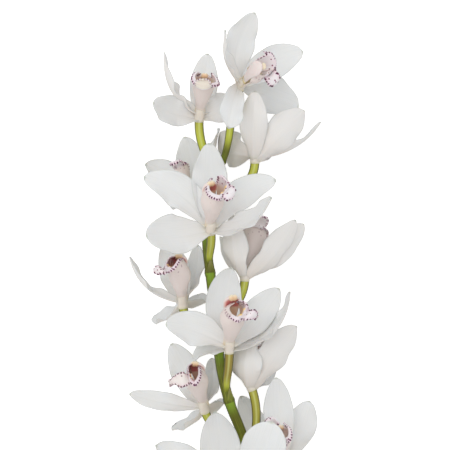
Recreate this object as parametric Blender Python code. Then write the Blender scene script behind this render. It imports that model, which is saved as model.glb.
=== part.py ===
"""Cut stem of a white cymbidium orchid with twelve open blooms, lying on a flat surface.

+X is to the right, +Y runs along the stalk from its cut end to its top bloom, and +Z is up.
Each bloom has five tepals joined at its neck, a three-lobed lip and an arched column.
The stalk carries the blooms on curved pedicels, and its lower part wears sheaths.
"""

import math
from collections import namedtuple

import bpy
import bmesh
from mathutils import Vector

MM = 0.001

# Place of the plan's zero point in the part's own frame, in millimetres
CENTRE_X = 3.78
CENTRE_Y = 40.35

# Tepals: sizes in millimetres
TEPAL_THICK = 1.5
TEPAL_EDGE_THICK = 0.8
TEPAL_WIDEST = 0.54
FACE_SETTLES = 0.35
TEPAL_CLAW = 0.28
TEPAL_TIP = 0.10
TEPAL_TAPER = 0.72
TEPAL_THINS = 0.5
TEPAL_CUP = 34
CUP_AT_CLAW = 1.5
CUP_LOST_BY_TIP = 0.7
TEPAL_ROWS = 5
TEPAL_COLUMNS = 4
ROOT_OUT = 1.6
SEPAL_ROOT_RISE = -0.4
PETAL_ROOT_RISE = 2.6

# Neck of a bloom, which its tepals grow from
NECK_RADIUS = 4.0
NECK_TOP = 6.0
NECK_BOTTOM = -4.2
NECK_WAIST = -0.5
NECK_SHOULDER = 3.0
NECK_END_SHARE = 0.78
NECK_SHOULDER_SHARE = 0.95
NECK_SIDES = 6
JOINT_GAP = 0.3

# Lip, along its middle from its root to the tip of its front lobe: ahead, up, half width, cup
LIP_THICK = 1.0
LIP_ROWS = 6
LIP_COLUMNS = 6
LIP_BEND_START = 0.4
LIP_BEND_POWER = 1.3
LIP_SECTIONS = (
    (0.0, -1.6, 2.4, 40),
    (8.0, -4.6, 8.0, 84),
    (17.0, -6.4, 14.0, 98),
    (25.0, -6.6, 18.0, 100),
    (31.0, -5.8, 16.0, 88),
    (35.0, -6.0, 9.5, 48),
    (38.5, -8.6, 10.0, 16),
    (40.2, -13.0, 10.0, -12),
    (39.4, -17.5, 7.5, -22),
    (37.2, -20.8, 3.0, -20),
)

# Column, along its middle: ahead, up, half width, half height. Widths shrink half as much as
# the rest in a small bloom
COLUMN_SECTIONS = (
    (0.0, 1.3, 2.2, 1.2),
    (7.0, 4.2, 2.8, 1.8),
    (17.0, 7.4, 3.8, 2.0),
    (25.0, 8.6, 4.7, 2.2),
    (30.0, 8.4, 4.7, 2.4),
    (33.5, 7.2, 3.3, 2.2),
    (34.8, 6.2, 1.4, 1.0),
)
COLUMN_SIDES = 6

# Stalk: middle of each stretch (x, y, z) and its radius, from the cut end to the top bloom
STALK_PATH = (
    (27.0, -226.0, 3.6, 3.6),
    (27.0, -200.0, 6.4, 3.6),
    (25.5, -150.0, 13.0, 3.7),
    (23.5, -90.0, 21.5, 3.7),
    (21.0, -40.0, 30.0, 3.7),
    (17.0, -10.0, 36.0, 3.6),
    (12.0, 10.0, 40.0, 3.5),
    (3.5, 32.0, 43.5, 3.6),
    (-2.5, 55.0, 45.0, 3.5),
    (-6.0, 82.0, 46.0, 3.4),
    (-8.5, 106.0, 46.5, 3.3),
    (-10.5, 124.0, 47.0, 3.4),
    (-13.0, 145.0, 46.5, 3.1),
    (-13.0, 168.0, 45.0, 3.0),
    (-8.0, 188.0, 44.0, 2.8),
    (-1.5, 203.0, 45.5, 2.6),
)
STALK_STEP = 26.0
STALK_SIDES = 7
NODE_SWELL = 1.16
PEDICEL_RADIUS = 2.4
PEDICEL_TOP_RADIUS = 3.1
PEDICEL_SIDES = 6
PEDICEL_STEP = 12.0
PEDICEL_FEWEST_STEPS = 4
PEDICEL_STRAIGHT_SHARE = 0.5

# Bracts: a small pointed scale below each pedicel, which leans out by so much at its tip
BRACT_LENGTH = 12.0
BRACT_HALF_WIDTH = 3.2
BRACT_THICK = 0.8
BRACT_BELOW = 3.5
BRACT_SINK = 0.8
BRACT_LEAN = 2.2
BRACT_NARROWS = 0.9
BRACT_POINT = 1.7
BRACT_CURL = 0.45
BRACT_GRID = 2

# Sheathing bracts on the lower stalk: the place of each (y), its side of the stalk, length,
# half width and lean
SHEATHS = (
    (-188.0, (0.8, 0.0, 0.6), 34.0, 4.6, 3.6),
    (-136.0, (-0.7, 0.0, 0.7), 32.0, 4.4, 3.8),
    (-98.0, (0.3, 0.0, 1.0), 26.0, 4.0, 3.4),
)

Tepal = namedtuple(
    "Tepal", "tip half_width arch sway face cup widest",
    defaults=(-6, 0, None, TEPAL_CUP, TEPAL_WIDEST),
)
Lip = namedtuple("Lip", "ahead up size bend")
Stem = namedtuple("Stem", "joint pull ahead lean", defaults=(BRACT_LEAN,))
Bloom = namedtuple("Bloom", "base facing lip stem tepals")

TEPAL_NAMES = ("dorsal_sepal", "left_petal", "right_petal", "left_sepal", "right_sepal")

# Each bloom, from the top of the stalk down: its neck and the way it faces; its lip's way
# ahead, the way from lip to column, its size and how far its front lobe bends to the right;
# its pedicel's place on the stalk (y), how far it runs on with the stalk and its way at the
# neck; and its tepals: the tip's offset from the neck, half width, arch, sway, the way the
# blade's inner side faces, cup and where it is widest
BLOOMS = {
    "bloom_01": Bloom(
        (11, 256, 58), (0.75, 0.35, 0.55),
        Lip((0.5, 0.32, 0.8), (-0.6, 0.1, 0.79), 0.75, 0),
        Stem(203, 14, (0.3, 0.9, 0.3)), (
            Tepal((10, 50, -2), 12.0, -10, -3, (0.35, -0.05, 0.93)),
            Tepal((-9.5, 36, 30), 9.0, -6, 0, (0.95, 0.2, 0.1)),
            Tepal((44, 24, -26), 12.5, -6, -3, (0.1, -0.1, 1.0)),
            Tepal((-9, -32, 36), 9.5, 4, 2, (0.4, 0.5, 0.8), 34, 0.74),
            Tepal((41, -15, -34), 15.0, -6, -3, (0.2, 0.2, 1.0)),
        )),
    "bloom_02": Bloom(
        (-18, 234, 54), (0.05, 0.75, 0.66),
        Lip((0.12, 0.8, 0.58), (0, 0.5, -0.85), 0.82, 0),
        Stem(186, 12, (0.05, 0.95, 0.25)), (
            Tepal((5.5, 44, -16), 10.5, -7),
            Tepal((-24, 44, 12), 8.5, -8, -2, (0.9, 0.45, 0.1), 50),
            Tepal((20, 16, -38), 11.0, -5),
            Tepal((-31, 8, 34), 11.0, -5, 0, (0.5, 0.1, 0.86)),
            Tepal((23, 14, 10), 11.5, -5, 1, (-0.2, 0.3, 0.93)),
        )),
    "bloom_03": Bloom(
        (21, 205, 46), (0.3, 0.85, -0.4),
        Lip((0.0, 0.8, -0.6), (0, -0.6, -0.8), 0.8, 0),
        Stem(168, 8, (0.0, 1.0, 0.05)), (
            Tepal((10, 20, -48), 12.0, -6),
            Tepal((-24, 18, -22), 14.0, -6, 4, (0.3, 0.3, -0.9)),
            Tepal((47, 25, -24), 10.0, -6),
            Tepal((0, 46, 12), 10.5, -6, 0, (0.1, 0.2, -0.97)),
            Tepal((35, 33, -4), 13.0, -6, 2, (-0.2, 0.2, -0.95)),
        )),
    "bloom_04": Bloom(
        (-24, 177, 32), (-0.25, 0.85, 0.45),
        Lip((-0.28, 0.8, 0.1), (0.3, 0.3, -0.9), 0.52, 0),
        Stem(152, 10, (-0.4, 0.85, 0.0)), (
            Tepal((-5, 43, -24), 12.0, -7, 2),
            Tepal((-33, 23, -12), 11.0, -6, 5, (0.1, 0.3, 0.95)),
            Tepal((18, 49, -14), 8.0, -4, 7, (-1.0, 0.2, 0.1)),
            Tepal((-15, 2, -35), 10.0, -6),
            Tepal((8, 12, -36), 11.0, -5),
        )),
    "bloom_05": Bloom(
        (-10, 155, 66), (0.1, 0.6, 0.79),
        Lip((0.08, 0.72, 0.69), (-0.4, 0.65, -0.6), 0.92, 5),
        Stem(124, 16, (-0.05, 0.85, 0.5)), (
            Tepal((-1, 59, -6), 13.5, -9, 0, (0, 0.35, 0.94)),
            Tepal((-46, 36, -4), 13.0, -6, 8, (0.15, 0.25, 0.95)),
            Tepal((45, 34, -6), 11.5, -6, -7, (-0.1, 0.1, 0.99)),
            Tepal((-44, -5, 30), 15.5, -6, 0, (0.35, 0.35, 0.87)),
            Tepal((43, 21, 30), 12.0, -6, 4, (-0.3, 0.75, 0.6)),
        )),
    "bloom_06": Bloom(
        (14, 122, 50), (0.35, 0.9, 0.0),
        Lip((0.22, 0.92, -0.25), (0, -0.2, -1.0), 0.85, 0),
        Stem(80, 14, (0.05, 1.0, 0.0)), (
            Tepal((15, 30, -50), 12.0, -6),
            Tepal((-16, 26, -26), 11.0, -6, 0, (0.9, 0.3, -0.2)),
            Tepal((41.5, 36, -18), 10.0, -6, -1, (-0.1, 0.2, -0.97)),
            Tepal((-8, 42, 8), 10.0, -6, 0, (0.5, 0.2, -0.85)),
            Tepal((35, 39, 2), 10.5, -6, 0, (-0.45, 0.45, -0.75)),
        )),
    "bloom_07": Bloom(
        (-30, 103, 50), (-0.4, 0.8, 0.45),
        Lip((-0.08, 0.78, 0.62), (0.1, 0.6, -0.8), 0.9, -14),
        Stem(69, 8, (-0.15, 0.95, 0.2), 6.5), (
            Tepal((-12, 42, -14), 12.0, -6),
            Tepal((-37, 32, 6), 8.5, -8, 0, (0.6, 0.75, 0.25)),
            Tepal((11, 40, -24), 10.5, -6),
            Tepal((-21, -10, -51), 11.0, -5),
            Tepal((12, 4, -40), 11.0, -5),
        )),
    "bloom_08": Bloom(
        (3, 72, 66), (0.1, 0.6, 0.79),
        Lip((0.1, 0.76, 0.64), (-0.2, 0.6, -0.77), 1.0, 14),
        Stem(34, 14, (0.0, 0.9, 0.4)), (
            Tepal((2, 56, -4), 13.5, -9, -5, (0, 0.35, 0.94)),
            Tepal((-44, 16, 8), 13.5, -6, 5, (0.2, 0.3, 0.93)),
            Tepal((35, 41, -4), 12.0, -6, 0, (-0.1, 0.1, 0.99)),
            Tepal((-26, -7, -14), 8.5, 2, 0, (0.1, 0.75, 0.65)),
            Tepal((42, 39, 16), 11.0, -13, 0, (-0.6, 0.65, 0.45)),
        )),
    "bloom_09": Bloom(
        (18, 45, 46), (0.35, 0.85, -0.1),
        Lip((0.42, 0.86, -0.28), (0, -0.3, -0.95), 0.66, 0),
        Stem(-12, 10, (-0.3, 0.9, 0.1)), (
            Tepal((14, 22, -46), 12.0, -6),
            Tepal((-14, 24, -34), 11.0, -5),
            Tepal((5, 38, -32), 11.0, -6),
            Tepal((-1, 31, 8), 12.5, -6, 0, (0.4, 0.2, -0.9)),
            Tepal((33, 41, 2), 12.5, -6, 4, (-0.3, 0.3, -0.9)),
        )),
    "bloom_10": Bloom(
        (-15, 29, 46), (-0.5, 0.7, 0.5),
        Lip((-0.2, 0.74, 0.64), (0.25, 0.55, -0.8), 0.9, -13),
        Stem(-4, 8, (-0.3, 0.85, 0.3)), (
            Tepal((-23, 44, -14), 12.0, -6),
            Tepal((-52, 10, 8), 7.5, -5, 0, (0.1, 0.3, 0.95)),
            Tepal((6, 34, -24), 9.5, -6),
            Tepal((-23, -15, -47), 10.0, -5),
            Tepal((10, 2, -42), 11.0, -5),
        )),
    "bloom_11": Bloom(
        (41, -8, 52), (0.0, 0.6, 0.8),
        Lip((-0.08, 0.68, 0.73), (0.15, 0.55, -0.8), 0.72, 3),
        Stem(-34, 14, (0.0, 0.9, 0.3)), (
            Tepal((-5, 58, -6), 11.5, -8),
            Tepal((-30, 43, -44), 11.0, -9),
            Tepal((18.5, 41, -20), 12.5, -6, 1, (-0.1, 0.1, 0.99)),
            Tepal((-27, 3, 2), 10.5, -5, 0, (0.1, 0.0, 1.0)),
            Tepal((33, -22, 28), 13.0, -6),
        )),
    "bloom_12": Bloom(
        (2, -34, 60), (-0.05, 0.6, 0.8),
        Lip((-0.3, 0.75, 0.6), (0.0, 0.6, -0.8), 0.62, -3),
        Stem(-70, 14, (-0.2, 0.85, 0.3)), (
            Tepal((-9, 61, 0), 15.5, -8, 0, (0, 0.3, 0.95)),
            Tepal((-51, 37, 0), 13.0, -6, 4, (0.15, 0.25, 0.95)),
            Tepal((30, 55, 38), 15.5, 3, 4, (-0.1, -0.3, 0.95), 22, 0.78),
            Tepal((-44, -8, 32), 14.0, -6, 0, (0.3, 0.35, 0.87)),
            Tepal((36, 0, 36), 13.0, -6),
        )),
}

WHITE = (0.86, 0.87, 0.83, 1)
LIP_PINK = (0.88, 0.76, 0.77, 1)
CREAM = (0.88, 0.82, 0.66, 1)
GREEN = (0.34, 0.42, 0.09, 1)
PETAL_ROUGHNESS = 0.45
SHINY_ROUGHNESS = 0.4

# Steps that slopes are measured over, the sharpest smooth corner and the rounds of a search
SURFACE_STEP = 0.004
CURVE_STEP = 0.01
SHARP_ANGLE = 40
SEARCH_ROUNDS = 40


def clear_scene():
    for item in list(bpy.data.objects):
        bpy.data.objects.remove(item, do_unlink=True)


def make_material(name, colour, roughness):
    material = bpy.data.materials.new(name)
    material.use_nodes = True
    shader = material.node_tree.nodes["Principled BSDF"]
    shader.inputs["Base Color"].default_value = colour
    shader.inputs["Roughness"].default_value = roughness
    shader.inputs["Metallic"].default_value = 0.0
    return material


def to_frame(point):
    """A point of the plan, in millimetres, as metres in the part's frame."""
    return Vector((point[0] - CENTRE_X, point[1] - CENTRE_Y, point[2])) * MM


def above_floor(point, half_thick):
    """Lays on the floor whatever would sink into it."""
    return Vector((point.x, point.y, max(point.z, half_thick)))


def axes(ahead, up):
    """Three unit vectors: forward, up as near as it goes square to forward, and to the right."""
    forward = Vector(ahead).normalized()
    up = Vector(up)
    up = (up - forward * up.dot(forward)).normalized()
    return forward, up, up.cross(forward)


def catmull(points, t):
    """A smooth curve through points, each a tuple of any length, at t from 0 to 1."""
    spans = len(points) - 1
    place = min(t * spans, spans - 1e-9)
    index = int(place)
    f = place - index
    p1 = points[index]
    p2 = points[index + 1]
    p0 = points[index - 1] if index > 0 else [2 * a - b for a, b in zip(p1, p2)]
    p3 = points[index + 2] if index + 2 <= spans else [2 * b - a for a, b in zip(p1, p2)]
    return [
        0.5 * (2 * b + (c - a) * f + (2 * a - 5 * b + 4 * c - d) * f * f
               + (3 * b - a - 3 * c + d) * f ** 3)
        for a, b, c, d in zip(p0, p1, p2, p3)
    ]


def tepal_width(t, widest):
    """Share of a tepal's half width at t along it: a narrow claw, a broad blade, a blunt tip."""
    if t < widest:
        rise = math.sin(math.pi / 2 * t / widest)
        return TEPAL_CLAW + (1 - TEPAL_CLAW) * rise
    fall = math.cos(math.pi / 2 * (t - widest) / (1 - widest))
    return TEPAL_TIP + (1 - TEPAL_TIP) * max(fall, 0.0) ** TEPAL_TAPER


def tepal_surface(bloom, tepal, root_rise):
    """The middle surface of a tepal: a function of t along it and c across it."""
    forward = Vector(bloom.facing).normalized()
    base = Vector(bloom.base)
    tip = base + Vector(tepal.tip)
    outward = Vector(tepal.tip)
    outward = (outward - forward * outward.dot(forward)).normalized()
    root = base + forward * root_rise + outward * ROOT_OUT
    chord = (tip - root).normalized()
    face = Vector(tepal.face) if tepal.face else forward
    face = (face - chord * face.dot(chord)).normalized()
    side = chord.cross(face)
    control = (root + tip) / 2 + 2 * (face * tepal.arch + side * tepal.sway)

    def point(t, c):
        middle = root * (1 - t) ** 2 + control * 2 * t * (1 - t) + tip * t * t
        along = ((control - root) * (1 - t) + (tip - control) * t).normalized()
        turn = min(t / FACE_SETTLES, 1)
        normal = forward.lerp(face, turn)
        normal = (normal - along * normal.dot(along)).normalized()
        across = along.cross(normal)
        half = tepal.half_width * tepal_width(t, tepal.widest)
        bend = math.radians(tepal.cup) * (CUP_AT_CLAW - CUP_LOST_BY_TIP * t)
        return (middle + across * half * math.sin(bend * c) / bend
                + normal * half * (1 - math.cos(bend * c)) / bend)

    return point


def surface_normal(surface, t, c):
    step = SURFACE_STEP
    t = min(max(t, step), 1 - step)
    c = min(max(c, step - 1), 1 - step)
    along = surface(t + step, c) - surface(t - step, c)
    across = surface(t, c + step) - surface(t, c - step)
    return across.cross(along).normalized()


def sheet_solid(surface, rows, columns, thickness):
    """A thin closed solid round a surface, cut into the same triangles on both faces."""
    layers = []
    for sign in (1, -1):
        layer = []
        for i in range(rows + 1):
            t = i / rows
            row = []
            for j in range(columns + 1):
                c = 2 * j / columns - 1
                half = thickness(t, c) / 2
                middle = above_floor(surface(t, c), half)
                row.append(above_floor(middle + surface_normal(surface, t, c) * half * sign, 0))
            layer.append(row)
        layers.append(layer)
    points = []
    place = {}
    for k, layer in enumerate(layers):
        for i, row in enumerate(layer):
            for j, point in enumerate(row):
                place[k, i, j] = len(points)
                points.append(to_frame(point))
    faces = []
    for i in range(rows):
        for j in range(columns):
            corners = ((i, j), (i, j + 1), (i + 1, j + 1), (i + 1, j))
            order = (0, 1, 2, 0, 2, 3) if j >= columns / 2 else (0, 1, 3, 1, 2, 3)
            for k in (0, 3):
                trio = [corners[n] for n in order[k:k + 3]]
                faces.append([place[(0, *n)] for n in trio])
                faces.append([place[(1, *n)] for n in reversed(trio)])
    rim = [(0, j) for j in range(columns)]
    rim += [(i, columns) for i in range(rows)]
    rim += [(rows, j) for j in range(columns, 0, -1)]
    rim += [(i, 0) for i in range(rows, 0, -1)]
    for n, here in enumerate(rim):
        there = rim[(n + 1) % len(rim)]
        faces.append([place[(1, *here)], place[(1, *there)], place[(0, *there)]])
        faces.append([place[(1, *here)], place[(0, *there)], place[(0, *here)]])
    return points, faces


def tube_solid(rings):
    """A closed solid through rings of points, with flat ends."""
    sides = len(rings[0])
    points = [to_frame(point) for ring in rings for point in ring]
    faces = []
    for i in range(len(rings) - 1):
        for j in range(sides):
            k = (j + 1) % sides
            a = i * sides
            b = a + sides
            faces.append([a + j, a + k, b + k])
            faces.append([a + j, b + k, b + j])
    last = (len(rings) - 1) * sides
    for j in range(1, sides - 1):
        faces.append([0, j + 1, j])
        faces.append([last, last + j, last + j + 1])
    return points, faces


def make_object(name, solid, material):
    points, faces = solid
    mesh = bpy.data.meshes.new(name)
    mesh.from_pydata(points, [], faces)
    shape = bmesh.new()
    shape.from_mesh(mesh)
    bmesh.ops.recalc_face_normals(shape, faces=shape.faces)
    shape.to_mesh(mesh)
    shape.free()
    mesh.materials.append(material)
    mesh.shade_smooth()
    mesh.set_sharp_from_angle(angle=math.radians(SHARP_ANGLE))
    item = bpy.data.objects.new(name, mesh)
    bpy.context.scene.collection.objects.link(item)
    return item


def join_solids(item, others):
    """Fuses other objects into one by a Boolean union, and removes them."""
    group = bpy.data.collections.new(item.name + "_pieces")
    bpy.context.scene.collection.children.link(group)
    for other in others:
        group.objects.link(other)
    union = item.modifiers.new("union", "BOOLEAN")
    union.operation = "UNION"
    union.solver = "EXACT"
    union.operand_type = "COLLECTION"
    union.collection = group
    bpy.context.view_layer.update()
    bpy.context.view_layer.objects.active = item
    bpy.ops.object.modifier_apply(modifier=union.name)
    for other in others:
        bpy.data.objects.remove(other, do_unlink=True)
    bpy.data.collections.remove(group)


def tepal_thickness(t, c):
    middle_share = (1 - c * c) * (1 - TEPAL_THINS * t)
    return TEPAL_EDGE_THICK + (TEPAL_THICK - TEPAL_EDGE_THICK) * middle_share


def neck_solid(bloom):
    """The short waist where a bloom's tepals join, from the green ovary to the lip."""
    base = Vector(bloom.base)
    below = Vector(bloom.stem.ahead).normalized()
    above = Vector(bloom.lip.ahead).normalized()
    sections = (
        (base + below * NECK_BOTTOM, below, NECK_END_SHARE),
        (base + below * NECK_WAIST, below + above, 1.0),
        (base + above * NECK_SHOULDER, above, NECK_SHOULDER_SHARE),
        (base + above * NECK_TOP, above, NECK_END_SHARE),
    )
    rings = []
    for middle, ahead, share in sections:
        forward, up, right = axes(ahead, bloom.lip.up)
        ring = []
        for n in range(NECK_SIDES):
            angle = 2 * math.pi * n / NECK_SIDES
            spoke = right * math.cos(angle) + up * math.sin(angle)
            ring.append(middle + spoke * NECK_RADIUS * share)
        rings.append(ring)
    return tube_solid(rings)


def make_tepals(name, bloom, material):
    neck = make_object(name + "_tepals", neck_solid(bloom), material)
    blades = []
    for label, tepal in zip(TEPAL_NAMES, bloom.tepals):
        rise = PETAL_ROOT_RISE if "petal" in label else SEPAL_ROOT_RISE
        surface = tepal_surface(bloom, tepal, rise)
        solid = sheet_solid(surface, TEPAL_ROWS, TEPAL_COLUMNS, tepal_thickness)
        blades.append(make_object(name + "_" + label, solid, material))
    join_solids(neck, blades)


def lip_place(bloom, ahead, height):
    """A point in the middle plane of a lip or column, which starts just above the neck."""
    forward, up, _ = axes(bloom.lip.ahead, bloom.lip.up)
    start = NECK_TOP + JOINT_GAP
    size = bloom.lip.size
    return Vector(bloom.base) + forward * (start + ahead * size) + up * height * size


def lip_surface(bloom):
    """The middle surface of a lip: its side lobes stand up round the column."""
    forward, up, right = axes(bloom.lip.ahead, bloom.lip.up)
    size = bloom.lip.size

    def point(t, c):
        ahead, height, half, cup = catmull(LIP_SECTIONS, t)
        further = catmull(LIP_SECTIONS, min(t + CURVE_STEP, 1))
        nearer = catmull(LIP_SECTIONS, max(t - CURVE_STEP, 0))
        along = Vector((further[0] - nearer[0], further[1] - nearer[1])).normalized()
        normal = up * along.x - forward * along.y
        bend = math.radians(cup)
        half *= size
        aside = bloom.lip.bend * max(t - LIP_BEND_START, 0) ** LIP_BEND_POWER
        middle = lip_place(bloom, ahead, height) + right * aside
        return (middle + right * half * math.sin(bend * c) / bend
                + normal * half * (1 - math.cos(bend * c)) / bend)

    return point


def lip_thickness(t, c):
    return LIP_THICK


def make_lip(name, bloom, material):
    solid = sheet_solid(lip_surface(bloom), LIP_ROWS, LIP_COLUMNS, lip_thickness)
    make_object(name + "_lip", solid, material)


def make_column(name, bloom, material):
    forward, up, right = axes(bloom.lip.ahead, bloom.lip.up)
    size = bloom.lip.size
    girth = (1 + size) / 2
    rings = []
    last = len(COLUMN_SECTIONS) - 1
    for i, (ahead, height, half_width, half_height) in enumerate(COLUMN_SECTIONS):
        before = COLUMN_SECTIONS[max(i - 1, 0)]
        after = COLUMN_SECTIONS[min(i + 1, last)]
        along = Vector((after[0] - before[0], after[1] - before[1])).normalized()
        if i == 0:
            along = Vector((1, 0))
        normal = up * along.x - forward * along.y
        middle = lip_place(bloom, ahead, height)
        ring = []
        for n in range(COLUMN_SIDES):
            angle = 2 * math.pi * n / COLUMN_SIDES
            ring.append(middle + right * half_width * girth * math.cos(angle)
                        + normal * half_height * size * math.sin(angle))
        rings.append(ring)
    make_object(name + "_column", tube_solid(rings), material)


def ring_round(middle, along, radius, sides):
    """A ring of points round a middle, square to the way along."""
    side = along.cross(Vector((0, 0, 1))).normalized()
    top = side.cross(along)
    ring = []
    for n in range(sides):
        angle = 2 * math.pi * (n + 0.5) / sides
        ring.append(middle + (side * math.cos(angle) + top * math.sin(angle)) * radius)
    return ring


def stalk_at(y):
    """Middle, direction and radius of the stalk at a height y along it."""
    low = 0.0
    high = 1.0
    for _ in range(SEARCH_ROUNDS):
        t = (low + high) / 2
        if catmull(STALK_PATH, t)[1] < y:
            low = t
        else:
            high = t
    here = catmull(STALK_PATH, low)
    ahead = Vector(catmull(STALK_PATH, min(low + CURVE_STEP, 1))[:3])
    behind = Vector(catmull(STALK_PATH, max(low - CURVE_STEP, 0))[:3])
    return Vector(here[:3]), (ahead - behind).normalized(), here[3]


def stalk_levels():
    """Heights of the stalk's rings: one at each node, and even steps between them."""
    bottom = STALK_PATH[0][1]
    top = STALK_PATH[-1][1]
    nodes = sorted(bloom.stem.joint for bloom in BLOOMS.values() if bloom.stem.joint < top)
    stops = [bottom] + nodes + [top]
    levels = []
    for low, high in zip(stops, stops[1:]):
        count = max(1, round((high - low) / STALK_STEP))
        levels += [low + (high - low) * n / count for n in range(count)]
    return levels + [top], nodes


def stalk_solid():
    levels, nodes = stalk_levels()
    rings = []
    for y in levels:
        middle, along, radius = stalk_at(y)
        if y in nodes:
            radius *= NODE_SWELL
        if y == levels[0]:
            along = Vector((0, 1, 0))
        rings.append(ring_round(middle, along, radius, STALK_SIDES))
    return tube_solid(rings)


def pedicel_path(bloom):
    """Curve of a pedicel, from inside the stalk to the underside of the bloom's neck."""
    ahead = Vector(bloom.stem.ahead).normalized()
    start, along, _ = stalk_at(bloom.stem.joint)
    end = Vector(bloom.base) + ahead * (NECK_BOTTOM - JOINT_GAP)
    reach = (end - start).length * PEDICEL_STRAIGHT_SHARE
    first = start + along * bloom.stem.pull
    second = end - ahead * reach

    def point(t):
        return (start * (1 - t) ** 3 + first * 3 * t * (1 - t) ** 2
                + second * 3 * t * t * (1 - t) + end * t ** 3)

    return point


def pedicel_solid(bloom):
    path = pedicel_path(bloom)
    length = (path(1) - path(0)).length
    count = max(PEDICEL_FEWEST_STEPS, round(length / PEDICEL_STEP))
    rings = []
    for n in range(count + 1):
        t = n / count
        along = (path(min(t + CURVE_STEP, 1)) - path(max(t - CURVE_STEP, 0))).normalized()
        swell = t * t * (3 - 2 * t)
        radius = PEDICEL_RADIUS + (PEDICEL_TOP_RADIUS - PEDICEL_RADIUS) * swell
        rings.append(ring_round(path(t), along, radius, PEDICEL_SIDES))
    return tube_solid(rings)


def bract_solid(place, out, length, half_width, lean):
    """A pointed scale that stands on the stalk at a height along it and leans out."""
    _, along, radius = stalk_at(place)
    out = (out - along * out.dot(along)).normalized()
    side = along.cross(out)

    def surface(t, c):
        centre, _, _ = stalk_at(place + length * t * along.y)
        half = half_width * (1 - BRACT_NARROWS * t ** BRACT_POINT)
        curl = half_width * BRACT_CURL * c * c * (1 - t)
        return centre + out * (radius - BRACT_SINK + lean * t - curl) + side * half * c

    return sheet_solid(surface, BRACT_GRID, BRACT_GRID, lambda t, c: BRACT_THICK)


def make_stalk(material):
    stalk = make_object("stalk", stalk_solid(), material)
    pieces = []
    for name, bloom in BLOOMS.items():
        pieces.append(make_object(name + "_pedicel", pedicel_solid(bloom), material))
        path = pedicel_path(bloom)
        solid = bract_solid(bloom.stem.joint - BRACT_BELOW, path(0.5) - path(0),
                            BRACT_LENGTH, BRACT_HALF_WIDTH, bloom.stem.lean)
        pieces.append(make_object(name + "_bract", solid, material))
    for number, (place, out, length, half_width, lean) in enumerate(SHEATHS, 1):
        solid = bract_solid(place, Vector(out), length, half_width, lean)
        pieces.append(make_object(f"sheath_{number}", solid, material))
    join_solids(stalk, pieces)


def main():
    clear_scene()
    white = make_material("petal_white", WHITE, PETAL_ROUGHNESS)
    pink = make_material("lip_pink", LIP_PINK, PETAL_ROUGHNESS)
    cream = make_material("column_cream", CREAM, SHINY_ROUGHNESS)
    green = make_material("stalk_green", GREEN, SHINY_ROUGHNESS)
    make_stalk(green)
    for name, bloom in BLOOMS.items():
        make_tepals(name, bloom, white)
        make_lip(name, bloom, pink)
        make_column(name, bloom, cream)


main()
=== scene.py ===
# %% [markdown]
# A cut cymbidium orchid stem, dressed for its portrait.
# The stem lies on a pale surface and the camera looks straight down on it. Twelve waxy white
# blooms sit on curved pedicels along a green stalk, and each has five tepals, a spotted lip and
# an arched column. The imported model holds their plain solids, and this lesson replaces each one
# with a finer mesh in the same place: thin petals with soft edges, ruffled lips and anther caps.

# %% Open the frame
import math
from collections import namedtuple

import bpy
import numpy as np
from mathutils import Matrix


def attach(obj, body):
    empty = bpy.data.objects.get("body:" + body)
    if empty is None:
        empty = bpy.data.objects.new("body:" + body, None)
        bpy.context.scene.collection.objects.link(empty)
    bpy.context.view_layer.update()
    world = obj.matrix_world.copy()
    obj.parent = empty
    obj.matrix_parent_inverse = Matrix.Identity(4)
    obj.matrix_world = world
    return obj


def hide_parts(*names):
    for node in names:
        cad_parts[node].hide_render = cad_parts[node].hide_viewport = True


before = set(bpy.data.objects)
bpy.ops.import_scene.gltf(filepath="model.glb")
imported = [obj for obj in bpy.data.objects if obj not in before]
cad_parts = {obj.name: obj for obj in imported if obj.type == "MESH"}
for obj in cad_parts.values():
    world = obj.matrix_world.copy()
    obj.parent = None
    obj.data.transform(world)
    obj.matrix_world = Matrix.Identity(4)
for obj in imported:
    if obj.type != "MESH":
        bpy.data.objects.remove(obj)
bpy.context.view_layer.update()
print("solids in the frame:", len(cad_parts))

# %% [markdown]
# Flowers are easier to lay out on a plan than in the air. The plan here is a sheet of paper under
# the stem, in millimetres: x to the right, y along the stalk, z the height over the surface.
# Its zero is the middle of the lower edge of the camera's view, and one shift brings it into the
# frame.

# %% Units and the plan
MM = 0.001
PLAN_CENTRE = (3.78, 40.35)


def to_frame(points):
    """Points of the plan, in millimetres, as metres in the frame, none below the surface."""
    points = np.array(points, float)
    points[..., 0] -= PLAN_CENTRE[0]
    points[..., 1] -= PLAN_CENTRE[1]
    points[..., 2] = np.maximum(points[..., 2], 0.05)
    return points * MM


# %% [markdown]
# The photograph is taken from straight in front, with a long lens: petals near the top of the
# frame are no smaller than those at the bottom. A camera three metres over the surface with a
# telephoto lens gives that flat view. Its lens is worked out from the stretch of the plan that
# the view holds, measured at the height where most petals are.

# %% Camera
VIEW_SIDE = 315.0
VIEW_MIDDLE = (0.0, 157.5)
VIEW_PLANE = 60.0
CAMERA_HEIGHT = 3000.0


def add_object(name, data):
    """A new object, linked to the scene."""
    thing = bpy.data.objects.new(name, data)
    bpy.context.scene.collection.objects.link(thing)
    return thing


camera_data = bpy.data.cameras.new("portrait_camera")
camera_data.sensor_width = 36.0
camera_data.lens = camera_data.sensor_width * (CAMERA_HEIGHT - VIEW_PLANE) / VIEW_SIDE
camera_data.clip_start = 0.1
camera_data.clip_end = 20.0
camera = add_object("portrait_camera", camera_data)
camera.location = to_frame((*VIEW_MIDDLE, CAMERA_HEIGHT))
bpy.context.scene.camera = camera
bpy.context.scene.view_settings.view_transform = "Standard"
print("lens", round(camera_data.lens), "mm")

# %% [markdown]
# Every petal is described by a few numbers, so a small kit of curves does most of the drawing.
# A Catmull-Rom curve passes through every point it is given, which makes it easy to steer.

# %% Curves and directions
TURN = 2 * math.pi


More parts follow.
